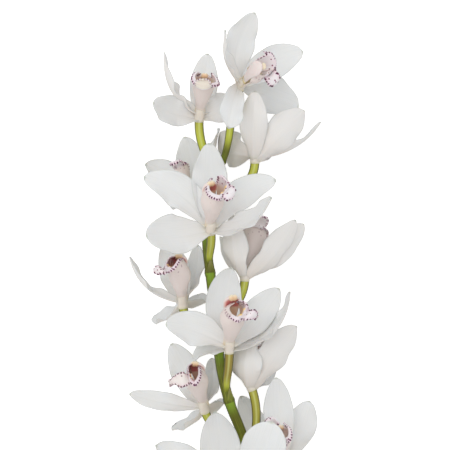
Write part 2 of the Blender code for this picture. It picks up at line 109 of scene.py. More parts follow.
def unit(vectors):
    """The same directions, each one long."""
    vectors = np.asarray(vectors, float)
    return vectors / np.maximum(np.linalg.norm(vectors, axis=-1, keepdims=True), 1e-12)


def square_to(direction, way):
    """The part of a direction that is square to a way, one long."""
    return unit(direction - way * (direction * way).sum(axis=-1, keepdims=True))


def axes(ahead, up):
    """Forward, up as near as it goes square to forward, and right."""
    forward = unit(ahead)
    up = square_to(np.asarray(up, float), forward)
    return forward, up, np.cross(up, forward)


def catmull(points, t):
    """A smooth curve through points, at places t from 0 to 1.

    Each point may also be a grid of points. Then t is a grid too, with a place for each curve.
    """
    points = np.asarray(points, float)
    spans = len(points) - 1
    place = np.clip(np.asarray(t, float) * spans, 0, spans - 1e-9)
    index = place.astype(int)
    own_curve = tuple(np.indices(index.shape)) if points.ndim > 2 else ()
    longer = np.concatenate([2 * points[:1] - points[1:2], points, 2 * points[-1:] - points[-2:-1]])
    a, b, c, d = (longer[(index + k, *own_curve)] for k in range(4))
    f = (place - index)[..., None]
    return 0.5 * (2 * b + (c - a) * f + (2 * a - 5 * b + 4 * c - d) * f * f
                  + (3 * b - a - 3 * c + d) * f ** 3)


def smooth_step(low, high, value):
    """Nought below low, one above high and a soft rise between them."""
    share = np.clip((value - low) / (high - low), 0, 1)
    return share * share * (3 - 2 * share)


def grids(rows, columns):
    """Two grids, one with each row's number and one with each column's."""
    return np.meshgrid(rows, columns, indexing="ij")


def round_angles(sides):
    return np.linspace(0, TURN, sides, endpoint=False)


# %% [markdown]
# A petal is a thin sheet with two faces and a rounded edge. One surface formula gives its middle,
# and the mesh is made from it: one grid of points on each side, and a bead of points round the
# rim. Values that a material needs, such as how far along the petal a point is, are kept on the
# mesh as named attributes.

# %% A sheet with two faces and a rim


def sheet_shape(middle, front, back, values):
    """Points, faces and attribute values of a sheet round a grid of middle points.

    front and back are how far each face stands off the middle. They and the values are grids of
    numbers, or numbers that spread to one.
    """
    rows, columns = middle.shape[:2]
    front = np.broadcast_to(front, (rows, columns))
    back = np.broadcast_to(back, (rows, columns))
    normal = unit(np.cross(np.gradient(middle, axis=1), np.gradient(middle, axis=0)))
    number = np.arange(rows * columns).reshape(rows, columns)
    quads = np.stack([number[:-1, :-1], number[:-1, 1:], number[1:, 1:], number[1:, :-1]], -1)
    quads = quads.reshape(-1, 4)
    rim = [(0, j) for j in range(columns - 1)] + [(i, columns - 1) for i in range(rows - 1)]
    rim += [(rows - 1, j) for j in range(columns - 1, 0, -1)]
    rim += [(i, 0) for i in range(rows - 1, 0, -1)]
    i, j = np.array(rim).T
    inner = middle[np.clip(i, 1, rows - 2), np.clip(j, 1, columns - 2)]
    bead = middle[i, j] + unit(middle[i, j] - inner) * (front[i, j] + back[i, j])[:, None] / 2
    here = 2 * rows * columns + np.arange(len(rim))
    there = np.roll(here, -1)
    top = number[i, j]
    low = top + rows * columns
    faces = [quads, quads[:, ::-1] + rows * columns,
             np.stack([top, here, there, np.roll(top, -1)], -1),
             np.stack([here, low, np.roll(low, -1), there], -1)]
    sides = [middle + normal * front[..., None], middle - normal * back[..., None]]
    points = np.vstack([side.reshape(-1, 3) for side in sides] + [bead])
    kept = {"inner_face": np.repeat([1, 0, 0.5], [rows * columns, rows * columns, len(rim)])}
    for name, grid in values.items():
        grid = np.broadcast_to(grid, (rows, columns))
        kept[name] = np.concatenate([grid.ravel(), grid.ravel(), grid[i, j]])
    return points, np.vstack(faces), kept


def tube_shape(rings, values):
    """Points, faces and values of a closed tube through a grid of ring points."""
    count, sides = rings.shape[:2]
    number = np.arange(count * sides).reshape(count, sides)
    turned = np.roll(number, -1, axis=1)
    faces = [np.stack([number[:-1], turned[:-1], turned[1:], number[1:]], -1).reshape(-1, 4)]
    for centre, first, second in ((0, turned[0], number[0]), (1, number[-1], turned[-1])):
        faces.append(np.stack([np.full(sides, count * sides + centre), first, second, second], -1))
    points = np.vstack([rings.reshape(-1, 3), rings[0].mean(axis=0), rings[-1].mean(axis=0)])
    kept = {}
    for name, grid in values.items():
        grid = np.broadcast_to(grid, (count, sides))
        kept[name] = np.concatenate([grid.ravel(), [grid[0].mean()], [grid[-1].mean()]])
    return points, np.vstack(faces), kept


def join_shapes(shapes):
    """Several shapes as one list of points, faces and values. A value that one lacks is nought."""
    starts = np.cumsum([0] + [len(points) for points, _, _ in shapes])
    faces = np.vstack([shape[1] + start for shape, start in zip(shapes, starts)])
    values = {}
    for name in sorted({name for shape in shapes for name in shape[2]}):
        values[name] = np.concatenate([kept.get(name, np.zeros(len(points)))
                                       for points, _, kept in shapes])
    return np.vstack([points for points, _, _ in shapes]), faces, values


# %% [markdown]
# A piece is a mesh with a material that rides on the model and stands for one of its solids.

# %% Make a piece
triangles_made = {}


def make_piece(name, shape, material, node):
    """A mesh object from a shape in plan millimetres, put in place of a solid of the frame."""
    points, faces, values = shape
    mesh = bpy.data.meshes.new(name)
    corners = [tuple(dict.fromkeys(face)) for face in faces.tolist()]
    mesh.from_pydata(to_frame(points).tolist(), [], corners)
    for label, numbers in values.items():
        layer = mesh.attributes.new(label, "FLOAT", "POINT")
        layer.data.foreach_set("value", np.asarray(numbers, np.float32))
    mesh.shade_smooth()
    mesh.update()
    mesh.materials.append(material)
    piece = add_object(name, mesh)
    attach(piece, "root")
    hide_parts(node)
    triangles_made[name] = sum(len(c) - 2 for c in corners)


# %% [markdown]
# The blooms are the heart of the stem. Each has a neck where its parts meet, a way that it faces,
# and five tepals, each given by where its tip is from the neck, how wide it is, how it bows, and
# which way its inner side looks. They differ from bloom to bloom, as they do on a real spike, so
# they are listed one by one. The lip is given by its way ahead, the way from lip to column and its
# size. The stem of a bloom is given by where it leaves the stalk, how far it follows the stalk,
# the way it meets the bloom and how far the bract below it leans out.

# %% The twelve blooms
TEPAL_CUP = 34
TEPAL_WIDEST = 0.54
BRACT_LEAN = 2.2
TEPAL_NAMES = ("dorsal_sepal", "left_petal", "right_petal", "left_sepal", "right_sepal")

Tepal = namedtuple(
    "Tepal", "tip half_width arch sway face cup widest",
    defaults=(-6, 0, None, TEPAL_CUP, TEPAL_WIDEST),
)
Lip = namedtuple("Lip", "ahead up size")
Stem = namedtuple("Stem", "joint pull ahead bract_lean", defaults=(BRACT_LEAN,))
Bloom = namedtuple("Bloom", "base facing lip stem tepals")

BLOOMS = {
    "bloom_01": Bloom(
        (11, 256, 58), (0.75, 0.35, 0.55),
        Lip((0.5, 0.32, 0.8), (-0.6, 0.1, 0.79), 0.75),
        Stem(203, 14, (0.3, 0.9, 0.3)), (
            ((10, 50, -2), 12.0, -10, -3, (0.35, -0.05, 0.93)),
            ((-9.5, 36, 30), 9.0, -6, 0, (0.95, 0.2, 0.1)),
            ((44, 24, -26), 12.5, -6, -3, (0.1, -0.1, 1.0)),
            ((-9, -32, 36), 9.5, 4, 2, (0.4, 0.5, 0.8), 34, 0.74),
            ((41, -15, -34), 15.0, -6, -3, (0.2, 0.2, 1.0)),
        )),
    "bloom_02": Bloom(
        (-18, 234, 54), (0.05, 0.75, 0.66),
        Lip((0.12, 0.8, 0.58), (0, 0.5, -0.85), 0.82),
        Stem(186, 12, (0.05, 0.95, 0.25)), (
            ((5.5, 44, -16), 10.5, -7),
            ((-24, 44, 12), 8.5, -8, -2, (0.9, 0.45, 0.1), 50),
            ((20, 16, -38), 11.0, -5),
            ((-31, 8, 34), 11.0, -5, 0, (0.5, 0.1, 0.86)),
            ((23, 14, 10), 11.5, -5, 1, (-0.2, 0.3, 0.93)),
        )),
    "bloom_03": Bloom(
        (21, 205, 46), (0.3, 0.85, -0.4),
        Lip((0.0, 0.8, -0.6), (0, -0.6, -0.8), 0.8),
        Stem(168, 8, (0.0, 1.0, 0.05)), (
            ((10, 20, -48), 12.0, -6),
            ((-24, 18, -22), 14.0, -6, 4, (0.3, 0.3, -0.9)),
            ((47, 25, -24), 10.0, -6),
            ((0, 46, 12), 10.5, -6, 0, (0.1, 0.2, -0.97)),
            ((35, 33, -4), 13.0, -6, 2, (-0.2, 0.2, -0.95)),
        )),
    "bloom_04": Bloom(
        (-24, 177, 32), (-0.25, 0.85, 0.45),
        Lip((-0.28, 0.8, 0.1), (0.3, 0.3, -0.9), 0.52),
        Stem(152, 10, (-0.4, 0.85, 0.0)), (
            ((-5, 43, -24), 12.0, -7, 2),
            ((-33, 23, -12), 11.0, -6, 5, (0.1, 0.3, 0.95)),
            ((18, 49, -14), 8.0, -4, 7, (-1.0, 0.2, 0.1)),
            ((-15, 2, -35), 10.0, -6),
            ((8, 12, -36), 11.0, -5),
        )),
    "bloom_05": Bloom(
        (-10, 155, 66), (0.1, 0.6, 0.79),
        Lip((0.08, 0.72, 0.69), (-0.4, 0.65, -0.6), 0.92),
        Stem(124, 16, (-0.05, 0.85, 0.5)), (
            ((-1, 59, -6), 13.5, -9, 0, (0, 0.35, 0.94)),
            ((-46, 36, -4), 13.0, -6, 8, (0.15, 0.25, 0.95)),
            ((45, 34, -6), 11.5, -6, -7, (-0.1, 0.1, 0.99)),
            ((-44, -5, 30), 15.5, -6, 0, (0.35, 0.35, 0.87)),
            ((43, 21, 30), 12.0, -6, 4, (-0.3, 0.75, 0.6)),
        )),
    "bloom_06": Bloom(
        (14, 122, 50), (0.35, 0.9, 0.0),
        Lip((0.22, 0.92, -0.25), (0, -0.2, -1.0), 0.85),
        Stem(80, 14, (0.05, 1.0, 0.0)), (
            ((15, 30, -50), 12.0, -6),
            ((-16, 26, -26), 11.0, -6, 0, (0.9, 0.3, -0.2)),
            ((41.5, 36, -18), 10.0, -6, -1, (-0.1, 0.2, -0.97)),
            ((-8, 42, 8), 10.0, -6, 0, (0.5, 0.2, -0.85)),
            ((35, 39, 2), 10.5, -6, 0, (-0.45, 0.45, -0.75)),
        )),
    "bloom_07": Bloom(
        (-30, 103, 50), (-0.4, 0.8, 0.45),
        Lip((-0.08, 0.78, 0.62), (0.1, 0.6, -0.8), 0.9),
        Stem(69, 8, (-0.15, 0.95, 0.2), 6.5), (
            ((-12, 42, -14), 12.0, -6),
            ((-37, 32, 6), 8.5, -8, 0, (0.6, 0.75, 0.25)),
            ((11, 40, -24), 10.5, -6),
            ((-21, -10, -51), 11.0, -5),
            ((12, 4, -40), 11.0, -5),
        )),
    "bloom_08": Bloom(
        (3, 72, 66), (0.1, 0.6, 0.79),
        Lip((0.1, 0.76, 0.64), (-0.2, 0.6, -0.77), 1.0),
        Stem(34, 14, (0.0, 0.9, 0.4)), (
            ((2, 56, -4), 13.5, -9, -5, (0, 0.35, 0.94)),
            ((-44, 16, 8), 13.5, -6, 5, (0.2, 0.3, 0.93)),
            ((35, 41, -4), 12.0, -6, 0, (-0.1, 0.1, 0.99)),
            ((-26, -7, -14), 8.5, 2, 0, (0.1, 0.75, 0.65)),
            ((42, 39, 16), 11.0, -13, 0, (-0.6, 0.65, 0.45)),
        )),
    "bloom_09": Bloom(
        (18, 45, 46), (0.35, 0.85, -0.1),
        Lip((0.42, 0.86, -0.28), (0, -0.3, -0.95), 0.66),
        Stem(-12, 10, (-0.3, 0.9, 0.1)), (
            ((14, 22, -46), 12.0, -6),
            ((-14, 24, -34), 11.0, -5),
            ((5, 38, -32), 11.0, -6),
            ((-1, 31, 8), 12.5, -6, 0, (0.4, 0.2, -0.9)),
            ((33, 41, 2), 12.5, -6, 4, (-0.3, 0.3, -0.9)),
        )),
    "bloom_10": Bloom(
        (-15, 29, 46), (-0.5, 0.7, 0.5),
        Lip((-0.2, 0.74, 0.64), (0.25, 0.55, -0.8), 0.9),
        Stem(-4, 8, (-0.3, 0.85, 0.3)), (
            ((-23, 44, -14), 12.0, -6),
            ((-52, 10, 8), 7.5, -5, 0, (0.1, 0.3, 0.95)),
            ((6, 34, -24), 9.5, -6),
            ((-23, -15, -47), 10.0, -5),
            ((10, 2, -42), 11.0, -5),
        )),
    "bloom_11": Bloom(
        (41, -8, 52), (0.0, 0.6, 0.8),
        Lip((-0.08, 0.68, 0.73), (0.15, 0.55, -0.8), 0.72),
        Stem(-34, 14, (0.0, 0.9, 0.3)), (
            ((-5, 58, -6), 11.5, -8),
            ((-30, 43, -44), 11.0, -9),
            ((18.5, 41, -20), 12.5, -6, 1, (-0.1, 0.1, 0.99)),
            ((-27, 3, 2), 10.5, -5, 0, (0.1, 0.0, 1.0)),
            ((33, -22, 28), 13.0, -6),
        )),
    "bloom_12": Bloom(
        (2, -34, 60), (-0.05, 0.6, 0.8),
        Lip((-0.3, 0.75, 0.6), (0.0, 0.6, -0.8), 0.62),
        Stem(-70, 14, (-0.2, 0.85, 0.3)), (
            ((-9, 61, 0), 15.5, -8, 0, (0, 0.3, 0.95)),
            ((-51, 37, 0), 13.0, -6, 4, (0.15, 0.25, 0.95)),
            ((30, 55, 38), 15.5, 3, 4, (-0.1, -0.3, 0.95), 22, 0.78),
            ((-44, -8, 32), 14.0, -6, 0, (0.3, 0.35, 0.87)),
            ((36, 0, 36), 13.0, -6),
        )),
}
print("blooms:", len(BLOOMS))

# %% [markdown]
# A tepal rises from a narrow claw, widens to a rounded blade and ends in a blunt tip. Its middle
# bows back along a soft curve, its sides cup forward, a shallow channel runs down its midrib, and
# its margin waves a little. The wave is drawn at random from a fixed seed, so no two are alike
# and the stem is the same on every run.

# %% The shape of a tepal
TEPAL_ROWS = 40
TEPAL_COLUMNS = 20
CLAW_SHARE = 0.36
TIP_SHARE = 0.07
TIP_FULLNESS = 0.60
TIP_CURL = 2.2
TIP_CURL_STARTS = 0.80
TIP_CURL_MIDDLE = 0.4
BLADE_TWIST = 1.3
FACE_SETTLES = 0.35
CUP_AT_CLAW = 1.5
CUP_LOST_BY_TIP = 0.7
ROOT_OUT = 1.9
SEPAL_ROOT_RISE = -2.4
PETAL_ROOT_RISE = 1.0
MIDRIB_DEPTH = 0.55
MIDRIB_WIDTH = 0.10
MARGIN_WAVE = 1.8
MARGIN_WAVES_ALONG = (1.2, 2.4)
FINE_WAVE = 0.6
FINE_WAVES_ALONG = 3.7
EDGE_HALF_THICK = 0.24
MIDDLE_THICKENS = 0.36
THINS_BY_TIP = 0.4
FULL_PHASE = 6.28

draw = np.random.default_rng(12)


def tepal_outline(t, widest):
    """Share of the half width at t along a tepal."""
    rise = CLAW_SHARE + (1 - CLAW_SHARE) * np.sin(TURN / 4 * np.clip(t / widest, 0, 1))
    fall = np.cos(TURN / 4 * np.clip((t - widest) / (1 - widest), 0, 1))
    fall = TIP_SHARE + (1 - TIP_SHARE) * fall ** TIP_FULLNESS
    return np.where(t < widest, rise, fall)


def tepal_relief(t, c, wave):
    """How far the waves, tip, twist and midrib lift a tepal at t along it and c across it."""
    waves_along, one_phase, other_phase, curl, twist = wave
    swell = np.sin(math.pi * t)
    slow = np.sin(TURN * t * waves_along + np.where(c > 0, one_phase, other_phase))
    fast = np.sin(TURN * t * FINE_WAVES_ALONG + np.where(c > 0, other_phase, one_phase))
    waves = swell * (MARGIN_WAVE * np.abs(c) ** 3 * slow + FINE_WAVE * c ** 6 * fast)
    spread = TIP_CURL_MIDDLE + (1 - TIP_CURL_MIDDLE) * np.abs(c)
    tip = TIP_CURL * curl * smooth_step(TIP_CURL_STARTS, 1.0, t) * spread
    midrib = MIDRIB_DEPTH * np.exp(-(c / MIDRIB_WIDTH) ** 2) * np.sqrt(np.clip(1 - t, 0, 1))
    return waves + tip + BLADE_TWIST * twist * c * swell - midrib


def tepal_middle(bloom, tepal, root_rise, t, c, wave):
    """The middle surface of a tepal at t along it and c across it, in plan millimetres."""
    forward = unit(bloom.facing)
    base = np.array(bloom.base, float)
    tip = base + np.array(tepal.tip, float)
    root = base + forward * root_rise + square_to(tip - base, forward) * ROOT_OUT
    chord = unit(tip - root)
    face = square_to(unit(tepal.face) if tepal.face else forward, chord)
    side = np.cross(chord, face)
    control = (root + tip) / 2 + 2 * (face * tepal.arch + side * tepal.sway)
    s = t[..., None]
    middle = root * (1 - s) ** 2 + control * 2 * s * (1 - s) + tip * s * s
    along = unit((control - root) * (1 - s) + (tip - control) * s)
    settled = np.clip(s / FACE_SETTLES, 0, 1)
    normal = square_to(forward * (1 - settled) + face * settled, along)
    half = tepal.half_width * tepal_outline(t, tepal.widest)
    bend = np.radians(tepal.cup) * (CUP_AT_CLAW - CUP_LOST_BY_TIP * t)
    aside = half * np.sin(bend * c) / bend
    lift = half * (1 - np.cos(bend * c)) / bend + tepal_relief(t, c, wave)
    return middle + np.cross(along, normal) * aside[..., None] + normal * lift[..., None]


def tepal_shape(bloom, tepal, root_rise, chance):
    t, c = grids(np.linspace(0, 1, TEPAL_ROWS + 1), np.linspace(-1, 1, TEPAL_COLUMNS + 1))
    wave = (draw.uniform(*MARGIN_WAVES_ALONG), draw.uniform(0, FULL_PHASE),
            draw.uniform(0, FULL_PHASE), draw.uniform(-1, 1), draw.uniform(-1, 1))
    middle = tepal_middle(bloom, tepal, root_rise, t, c, wave)
    half_thick = EDGE_HALF_THICK + MIDDLE_THICKENS * (1 - c * c) * (1 - THINS_BY_TIP * t)
    values = {"along": t, "across": c * tepal.half_width * tepal_outline(t, tepal.widest),
              "edge": np.abs(c), "chance": chance}
    return sheet_shape(middle, half_thick, half_thick, values)


# %% [markdown]
# Under the tepals the flower narrows to a short waist on its green ovary. A lofted tube with a
# little swell carries the claws and hides where they start. Each of its stops is a distance from
# the base of the bloom, back along the pedicel or on along the lip, and a share of its radius.

# %% The neck of a bloom
NECK_RADIUS = 4.0
NECK_TOP = 6.0
NECK_BOTTOM = -4.2
NECK_BELOW = ((NECK_BOTTOM, 0.83), (-0.5, 0.88))
NECK_ABOVE = ((3.0, 0.84), (NECK_TOP, 0.70))
JOINT_GAP = 0.3
NECK_RINGS = 16
NECK_SIDES = 24
NECK_ALONG = 0.02
NECK_CHANCE = 0.5


def neck_shape(bloom):
    base = np.array(bloom.base, float)
    parts = ((bloom.stem.ahead, NECK_BELOW), (bloom.lip.ahead, NECK_ABOVE))
    stops = [(*(base + unit(way) * run), share) for way, part in parts for run, share in part]
    t = np.linspace(0, 1, NECK_RINGS)
    path = catmull(stops, t)
    ahead = unit(np.gradient(path[:, :3], axis=0))
    angle = round_angles(NECK_SIDES)[:, None]
    rings = []
    for place, forward in zip(path, ahead):
        _, up, right = axes(forward, bloom.lip.up)
        spoke = right * np.cos(angle) + up * np.sin(angle)
        rings.append(place[:3] + spoke * NECK_RADIUS * place[3])
    values = {"along": NECK_ALONG, "neck": (1 - t)[:, None], "chance": NECK_CHANCE}
    return tube_shape(np.array(rings), values)


# %% [markdown]
# A material is a web of nodes, and most of them do a little arithmetic or mix two colours. A few
# helpers make such a node, link what it is given and hand back what it puts out. Those that are
# given another node's output find the tree to work in from it.

# %% Node helpers


def put(socket, value):
    """Sets a socket, or links it when the value is another node's output."""
    if isinstance(value, bpy.types.NodeSocket):
        socket.id_data.links.new(value, socket)
    else:
        socket.default_value = value


def add_node(tree, kind, values=(), **settings):
    """A new node with its settings made first, and then its inputs set or linked."""
    node = tree.nodes.new(kind)
    for setting, choice in settings.items():
        setattr(node, setting, choice)
    for label, value in dict(values).items():
        put(node.inputs[label], value)
    return node


def maths(operation, *values):
    tree = next(value.id_data for value in values if isinstance(value, bpy.types.NodeSocket))
    return add_node(tree, "ShaderNodeMath", enumerate(values), operation=operation).outputs[0]


def times(first, second):
    return maths("MULTIPLY", first, second)


def plus(first, second):
    return maths("ADD", first, second)


def minus(first, second):
    return maths("SUBTRACT", first, second)


def ramp(value, low, high, to_low=0.0, to_high=1.0):
    """A soft rise from to_low to to_high while value goes from low to high."""
    values = enumerate((value, low, high, to_low, to_high))
    node = add_node(value.id_data, "ShaderNodeMapRange", values, interpolation_type="SMOOTHSTEP")
    return node.outputs["Result"]


def pair(x, y):
    """A vector with two numbers in it."""
    return add_node(x.id_data, "ShaderNodeCombineXYZ", {"X": x, "Y": y}).outputs[0]


def noise(place, scale, detail=2.0):
    values = {"Vector": place, "Scale": scale, "Detail": detail}
    return add_node(place.id_data, "ShaderNodeTexNoise", values).outputs["Fac"]


def own_place(tree):
    """The place in the object's own space."""
    return add_node(tree, "ShaderNodeTexCoord").outputs["Object"]


def place_in_steps(step):
    """The place in the object's own space, in steps of a length that a group is given."""
    values = {0: own_place(step.id_data), "Scale": maths("DIVIDE", 1.0, step)}
    return add_node(step.id_data, "ShaderNodeVectorMath", values, operation="SCALE").outputs[0]


def attributes(tree, names):
    """The mesh's own numbers of these names."""
    return [add_node(tree, "ShaderNodeAttribute", attribute_name=name).outputs["Fac"]
            for name in names.split()]


def paint(colour, *layers):
    """A colour with layers over it, each a share and a colour."""
    for share, tint in layers:
        values = {0: share, 6: colour, 7: tint}
        colour = add_node(share.id_data, "ShaderNodeMix", values, data_type="RGBA").outputs[2]
    return colour


# %% [markdown]
# Many surfaces of a flower share two effects: fine lengthwise veins, and a crisp skin of tiny
# cells that breaks up the gloss. Each effect is a node group, so every material can use it with
# values of its own.

# %% Vein and skin groups
VEIN_DETAIL = 3.0
VEIN_CORE = (0.50, 0.72)
TONE_SCALE = 55.0


def new_group(name, inputs, outputs):
    """An empty node group, what it is given and what it makes. All of these are numbers."""
    group = bpy.data.node_groups.new(name, "ShaderNodeTree")
    for label, value in inputs.items():
        socket = group.interface.new_socket(label, in_out="INPUT", socket_type="NodeSocketFloat")
        socket.default_value = value
    for label in outputs:
        group.interface.new_socket(label, in_out="OUTPUT", socket_type="NodeSocketFloat")
    return group, group.nodes.new("NodeGroupInput").outputs, group.nodes.new("NodeGroupOutput").inputs


def use_group(tree, group, **values):
    """What a group puts out for these values."""
    return add_node(tree, "ShaderNodeGroup", values, node_tree=group).outputs


def make_vein_group():
    """Fine veins that run along a petal: Across in millimetres, Along from 0 to 1."""
    group, given, made = new_group(
        "long_veins", {"Across": 0.0, "Along": 0.0, "Spacing": 1.0, "Drift": 1.0}, ("Mask", "Height"))
    across = maths("DIVIDE", given["Across"], given["Spacing"])
    fine = noise(pair(across, times(given["Along"], given["Drift"])), 1.0, VEIN_DETAIL)
    put(made["Mask"], ramp(fine, *VEIN_CORE))
    put(made["Height"], fine)
    return group


def make_skin_group():
    """The crisp cell texture of a petal or stem, with a slow change of tone."""
    group, given, made = new_group("cell_skin", {"Cell": 0.0004}, ("Height", "Tone"))
    put(made["Height"], noise(place_in_steps(given["Cell"]), 1.0))
    put(made["Tone"], noise(own_place(group), TONE_SCALE))
    return group


vein_group = make_vein_group()
skin_group = make_skin_group()
print("nodes in the groups:", len(vein_group.nodes), len(skin_group.nodes))

# %% [markdown]
# Every finish is made in the same way, so one function does it. It takes a look, which is a
# function for the colour and the height of the relief, and adds the bump, the gloss, and how far
# light goes into the flesh.

# %% Make a material
TONE_SPAN = (0.3, 0.7)
NO_SOFTNESS = (0.0, (0.001, 0.001, 0.001))


def new_material(name):
    material = bpy.data.materials.new(name)
    material.use_nodes = True
    return material, material.node_tree


def set_shader(tree, values):
    """Sets or links inputs of a material's Principled shader."""
    for label, value in values.items():
        put(tree.nodes["Principled BSDF"].inputs[label], value)


def make_material(name, look, cell, bump, gloss, soft=NO_SOFTNESS, shine=0.5):
    """A material with a skin of cells.

    bump is the strength and depth of its relief, gloss the lowest and highest roughness, and soft
    the weight and reach of the light below the surface.
    """
    material, tree = new_material(name)
    skin = use_group(tree, skin_group, Cell=cell)
    colour, height = look(tree, skin)
    relief = {"Strength": bump[0], "Distance": bump[1], "Height": height}
    set_shader(tree, {
        "Base Color": colour,
        "Normal": add_node(tree, "ShaderNodeBump", relief).outputs["Normal"],
        "Roughness": ramp(skin["Tone"], *TONE_SPAN, *gloss),
        "Subsurface Weight": soft[0],
        "Subsurface Radius": soft[1],
        "Subsurface Scale": 1.0,
        "Specular IOR Level": shine,
    })
    print(name, "nodes:", len(tree.nodes))
    return material


# %% [markdown]
# A cymbidium petal looks white, but never plain white: its inner face is cool and faintly green,
# its back is warmer and pinkish towards the claw, and its neck is yellow-green where it meets the
# pedicel. Light goes a little way into it, so the shader has some subsurface scattering, and the
# finish is a soft wax. A painted shade darkens each tepal's tip and margin a little.

# %% Petal finish
PETAL_FRONT = (0.81, 0.82, 0.815, 1)
PETAL_BACK = (0.82, 0.80, 0.775, 1)
PETAL_FLUSH = (0.76, 0.68, 0.62, 1)
PETAL_BASE = (0.70, 0.66, 0.36, 1)
PETAL_NECK = (0.81, 0.73, 0.69, 1)
PETAL_VEIN = (0.70, 0.73, 0.72, 1)
# Painted shade: a darker grey at the very tip and round the margin of every tepal
PETAL_TIP_SHADE = (0.52, 0.55, 0.48, 1)
PETAL_EDGE_SHADE = (0.58, 0.60, 0.58, 1)
# Where each tint starts and ends. Two more numbers, if any, are its shares at those places
FLUSH_SPAN = (0.62, 0.08)
FLUSH_BY_FACE = (1.0, 0.0, 0.35, 0.75)
FLUSH_BY_CHANCE = (0.0, 1.0, 0.6, 1.0)
CLAW_SPAN = (0.09, 0.0, 0.0, 0.22)
NECK_SPAN = (0.0, 0.1)
OVARY_SPAN = (0.72, 1.0, 0.0, 0.6)
TIP_SHADE_SPAN = (0.975, 1.0, 0.0, 0.8)
EDGE_SHADE_SPAN = (0.93, 1.0, 0.0, 0.55)
VEIN_SHARE = 0.35


def petal_look(tree, skin):
    along, across, inner, chance = attributes(tree, "along across inner_face chance")
    neck, edge = attributes(tree, "neck edge")
    veins = use_group(tree, vein_group, Across=across, Along=along, Spacing=0.9, Drift=1.6)
    flush = times(ramp(along, *FLUSH_SPAN), ramp(inner, *FLUSH_BY_FACE))
    colour = paint(
        PETAL_BACK,
        (inner, PETAL_FRONT),
        (times(flush, ramp(chance, *FLUSH_BY_CHANCE)), PETAL_FLUSH),
        (times(veins["Mask"], VEIN_SHARE), PETAL_VEIN),
        (ramp(neck, *NECK_SPAN), PETAL_NECK),
        (maths("MAXIMUM", ramp(along, *CLAW_SPAN), ramp(neck, *OVARY_SPAN)), PETAL_BASE),
        # Painted shade darkens the tip and the margin
        (ramp(along, *TIP_SHADE_SPAN), PETAL_TIP_SHADE),
        (ramp(edge, *EDGE_SHADE_SPAN), PETAL_EDGE_SHADE),
    )
    return colour, plus(times(veins["Height"], 0.8), times(skin["Height"], 0.3))


petal_wax = make_material(
    "petal_wax", petal_look, cell=0.0005, bump=(0.35, 0.0002), gloss=(0.44, 0.56),
    soft=(0.25, (0.003, 0.0025, 0.002)), shine=0.35)

# %% Build the tepals
for name, bloom in BLOOMS.items():
    shapes = [neck_shape(bloom)]
    for label, row in zip(TEPAL_NAMES, bloom.tepals):
        rise = PETAL_ROOT_RISE if "petal" in label else SEPAL_ROOT_RISE
        shapes.append(tepal_shape(bloom, Tepal(*row), rise, draw.uniform(0, 1)))
    make_piece(name + "_flower", join_shapes(shapes), petal_wax, name + "_tepals")
print("triangles of tepals:", sum(triangles_made.values()))

# %% [markdown]
# The lip is the landing stage of the flower and its brightest part. Its two side lobes wrap up
# round the column as a short tube, and its front lobe spreads from the tube's mouth and rolls
# back. The rim curls outward, so a band of its inner face shows all round the mouth. The rim and
# the two edges of the front lobe are drawn as curves through points. For the seven lips that face
# the camera the points are given as how far across and down the photograph, in pixels, and
# how high over the surface, in millimetres. The other five lips share one plain drawing.

# %% The lips' rims and front lobes
PHOTO_SIDE = 450
PIXEL = VIEW_SIDE / PHOTO_SIDE

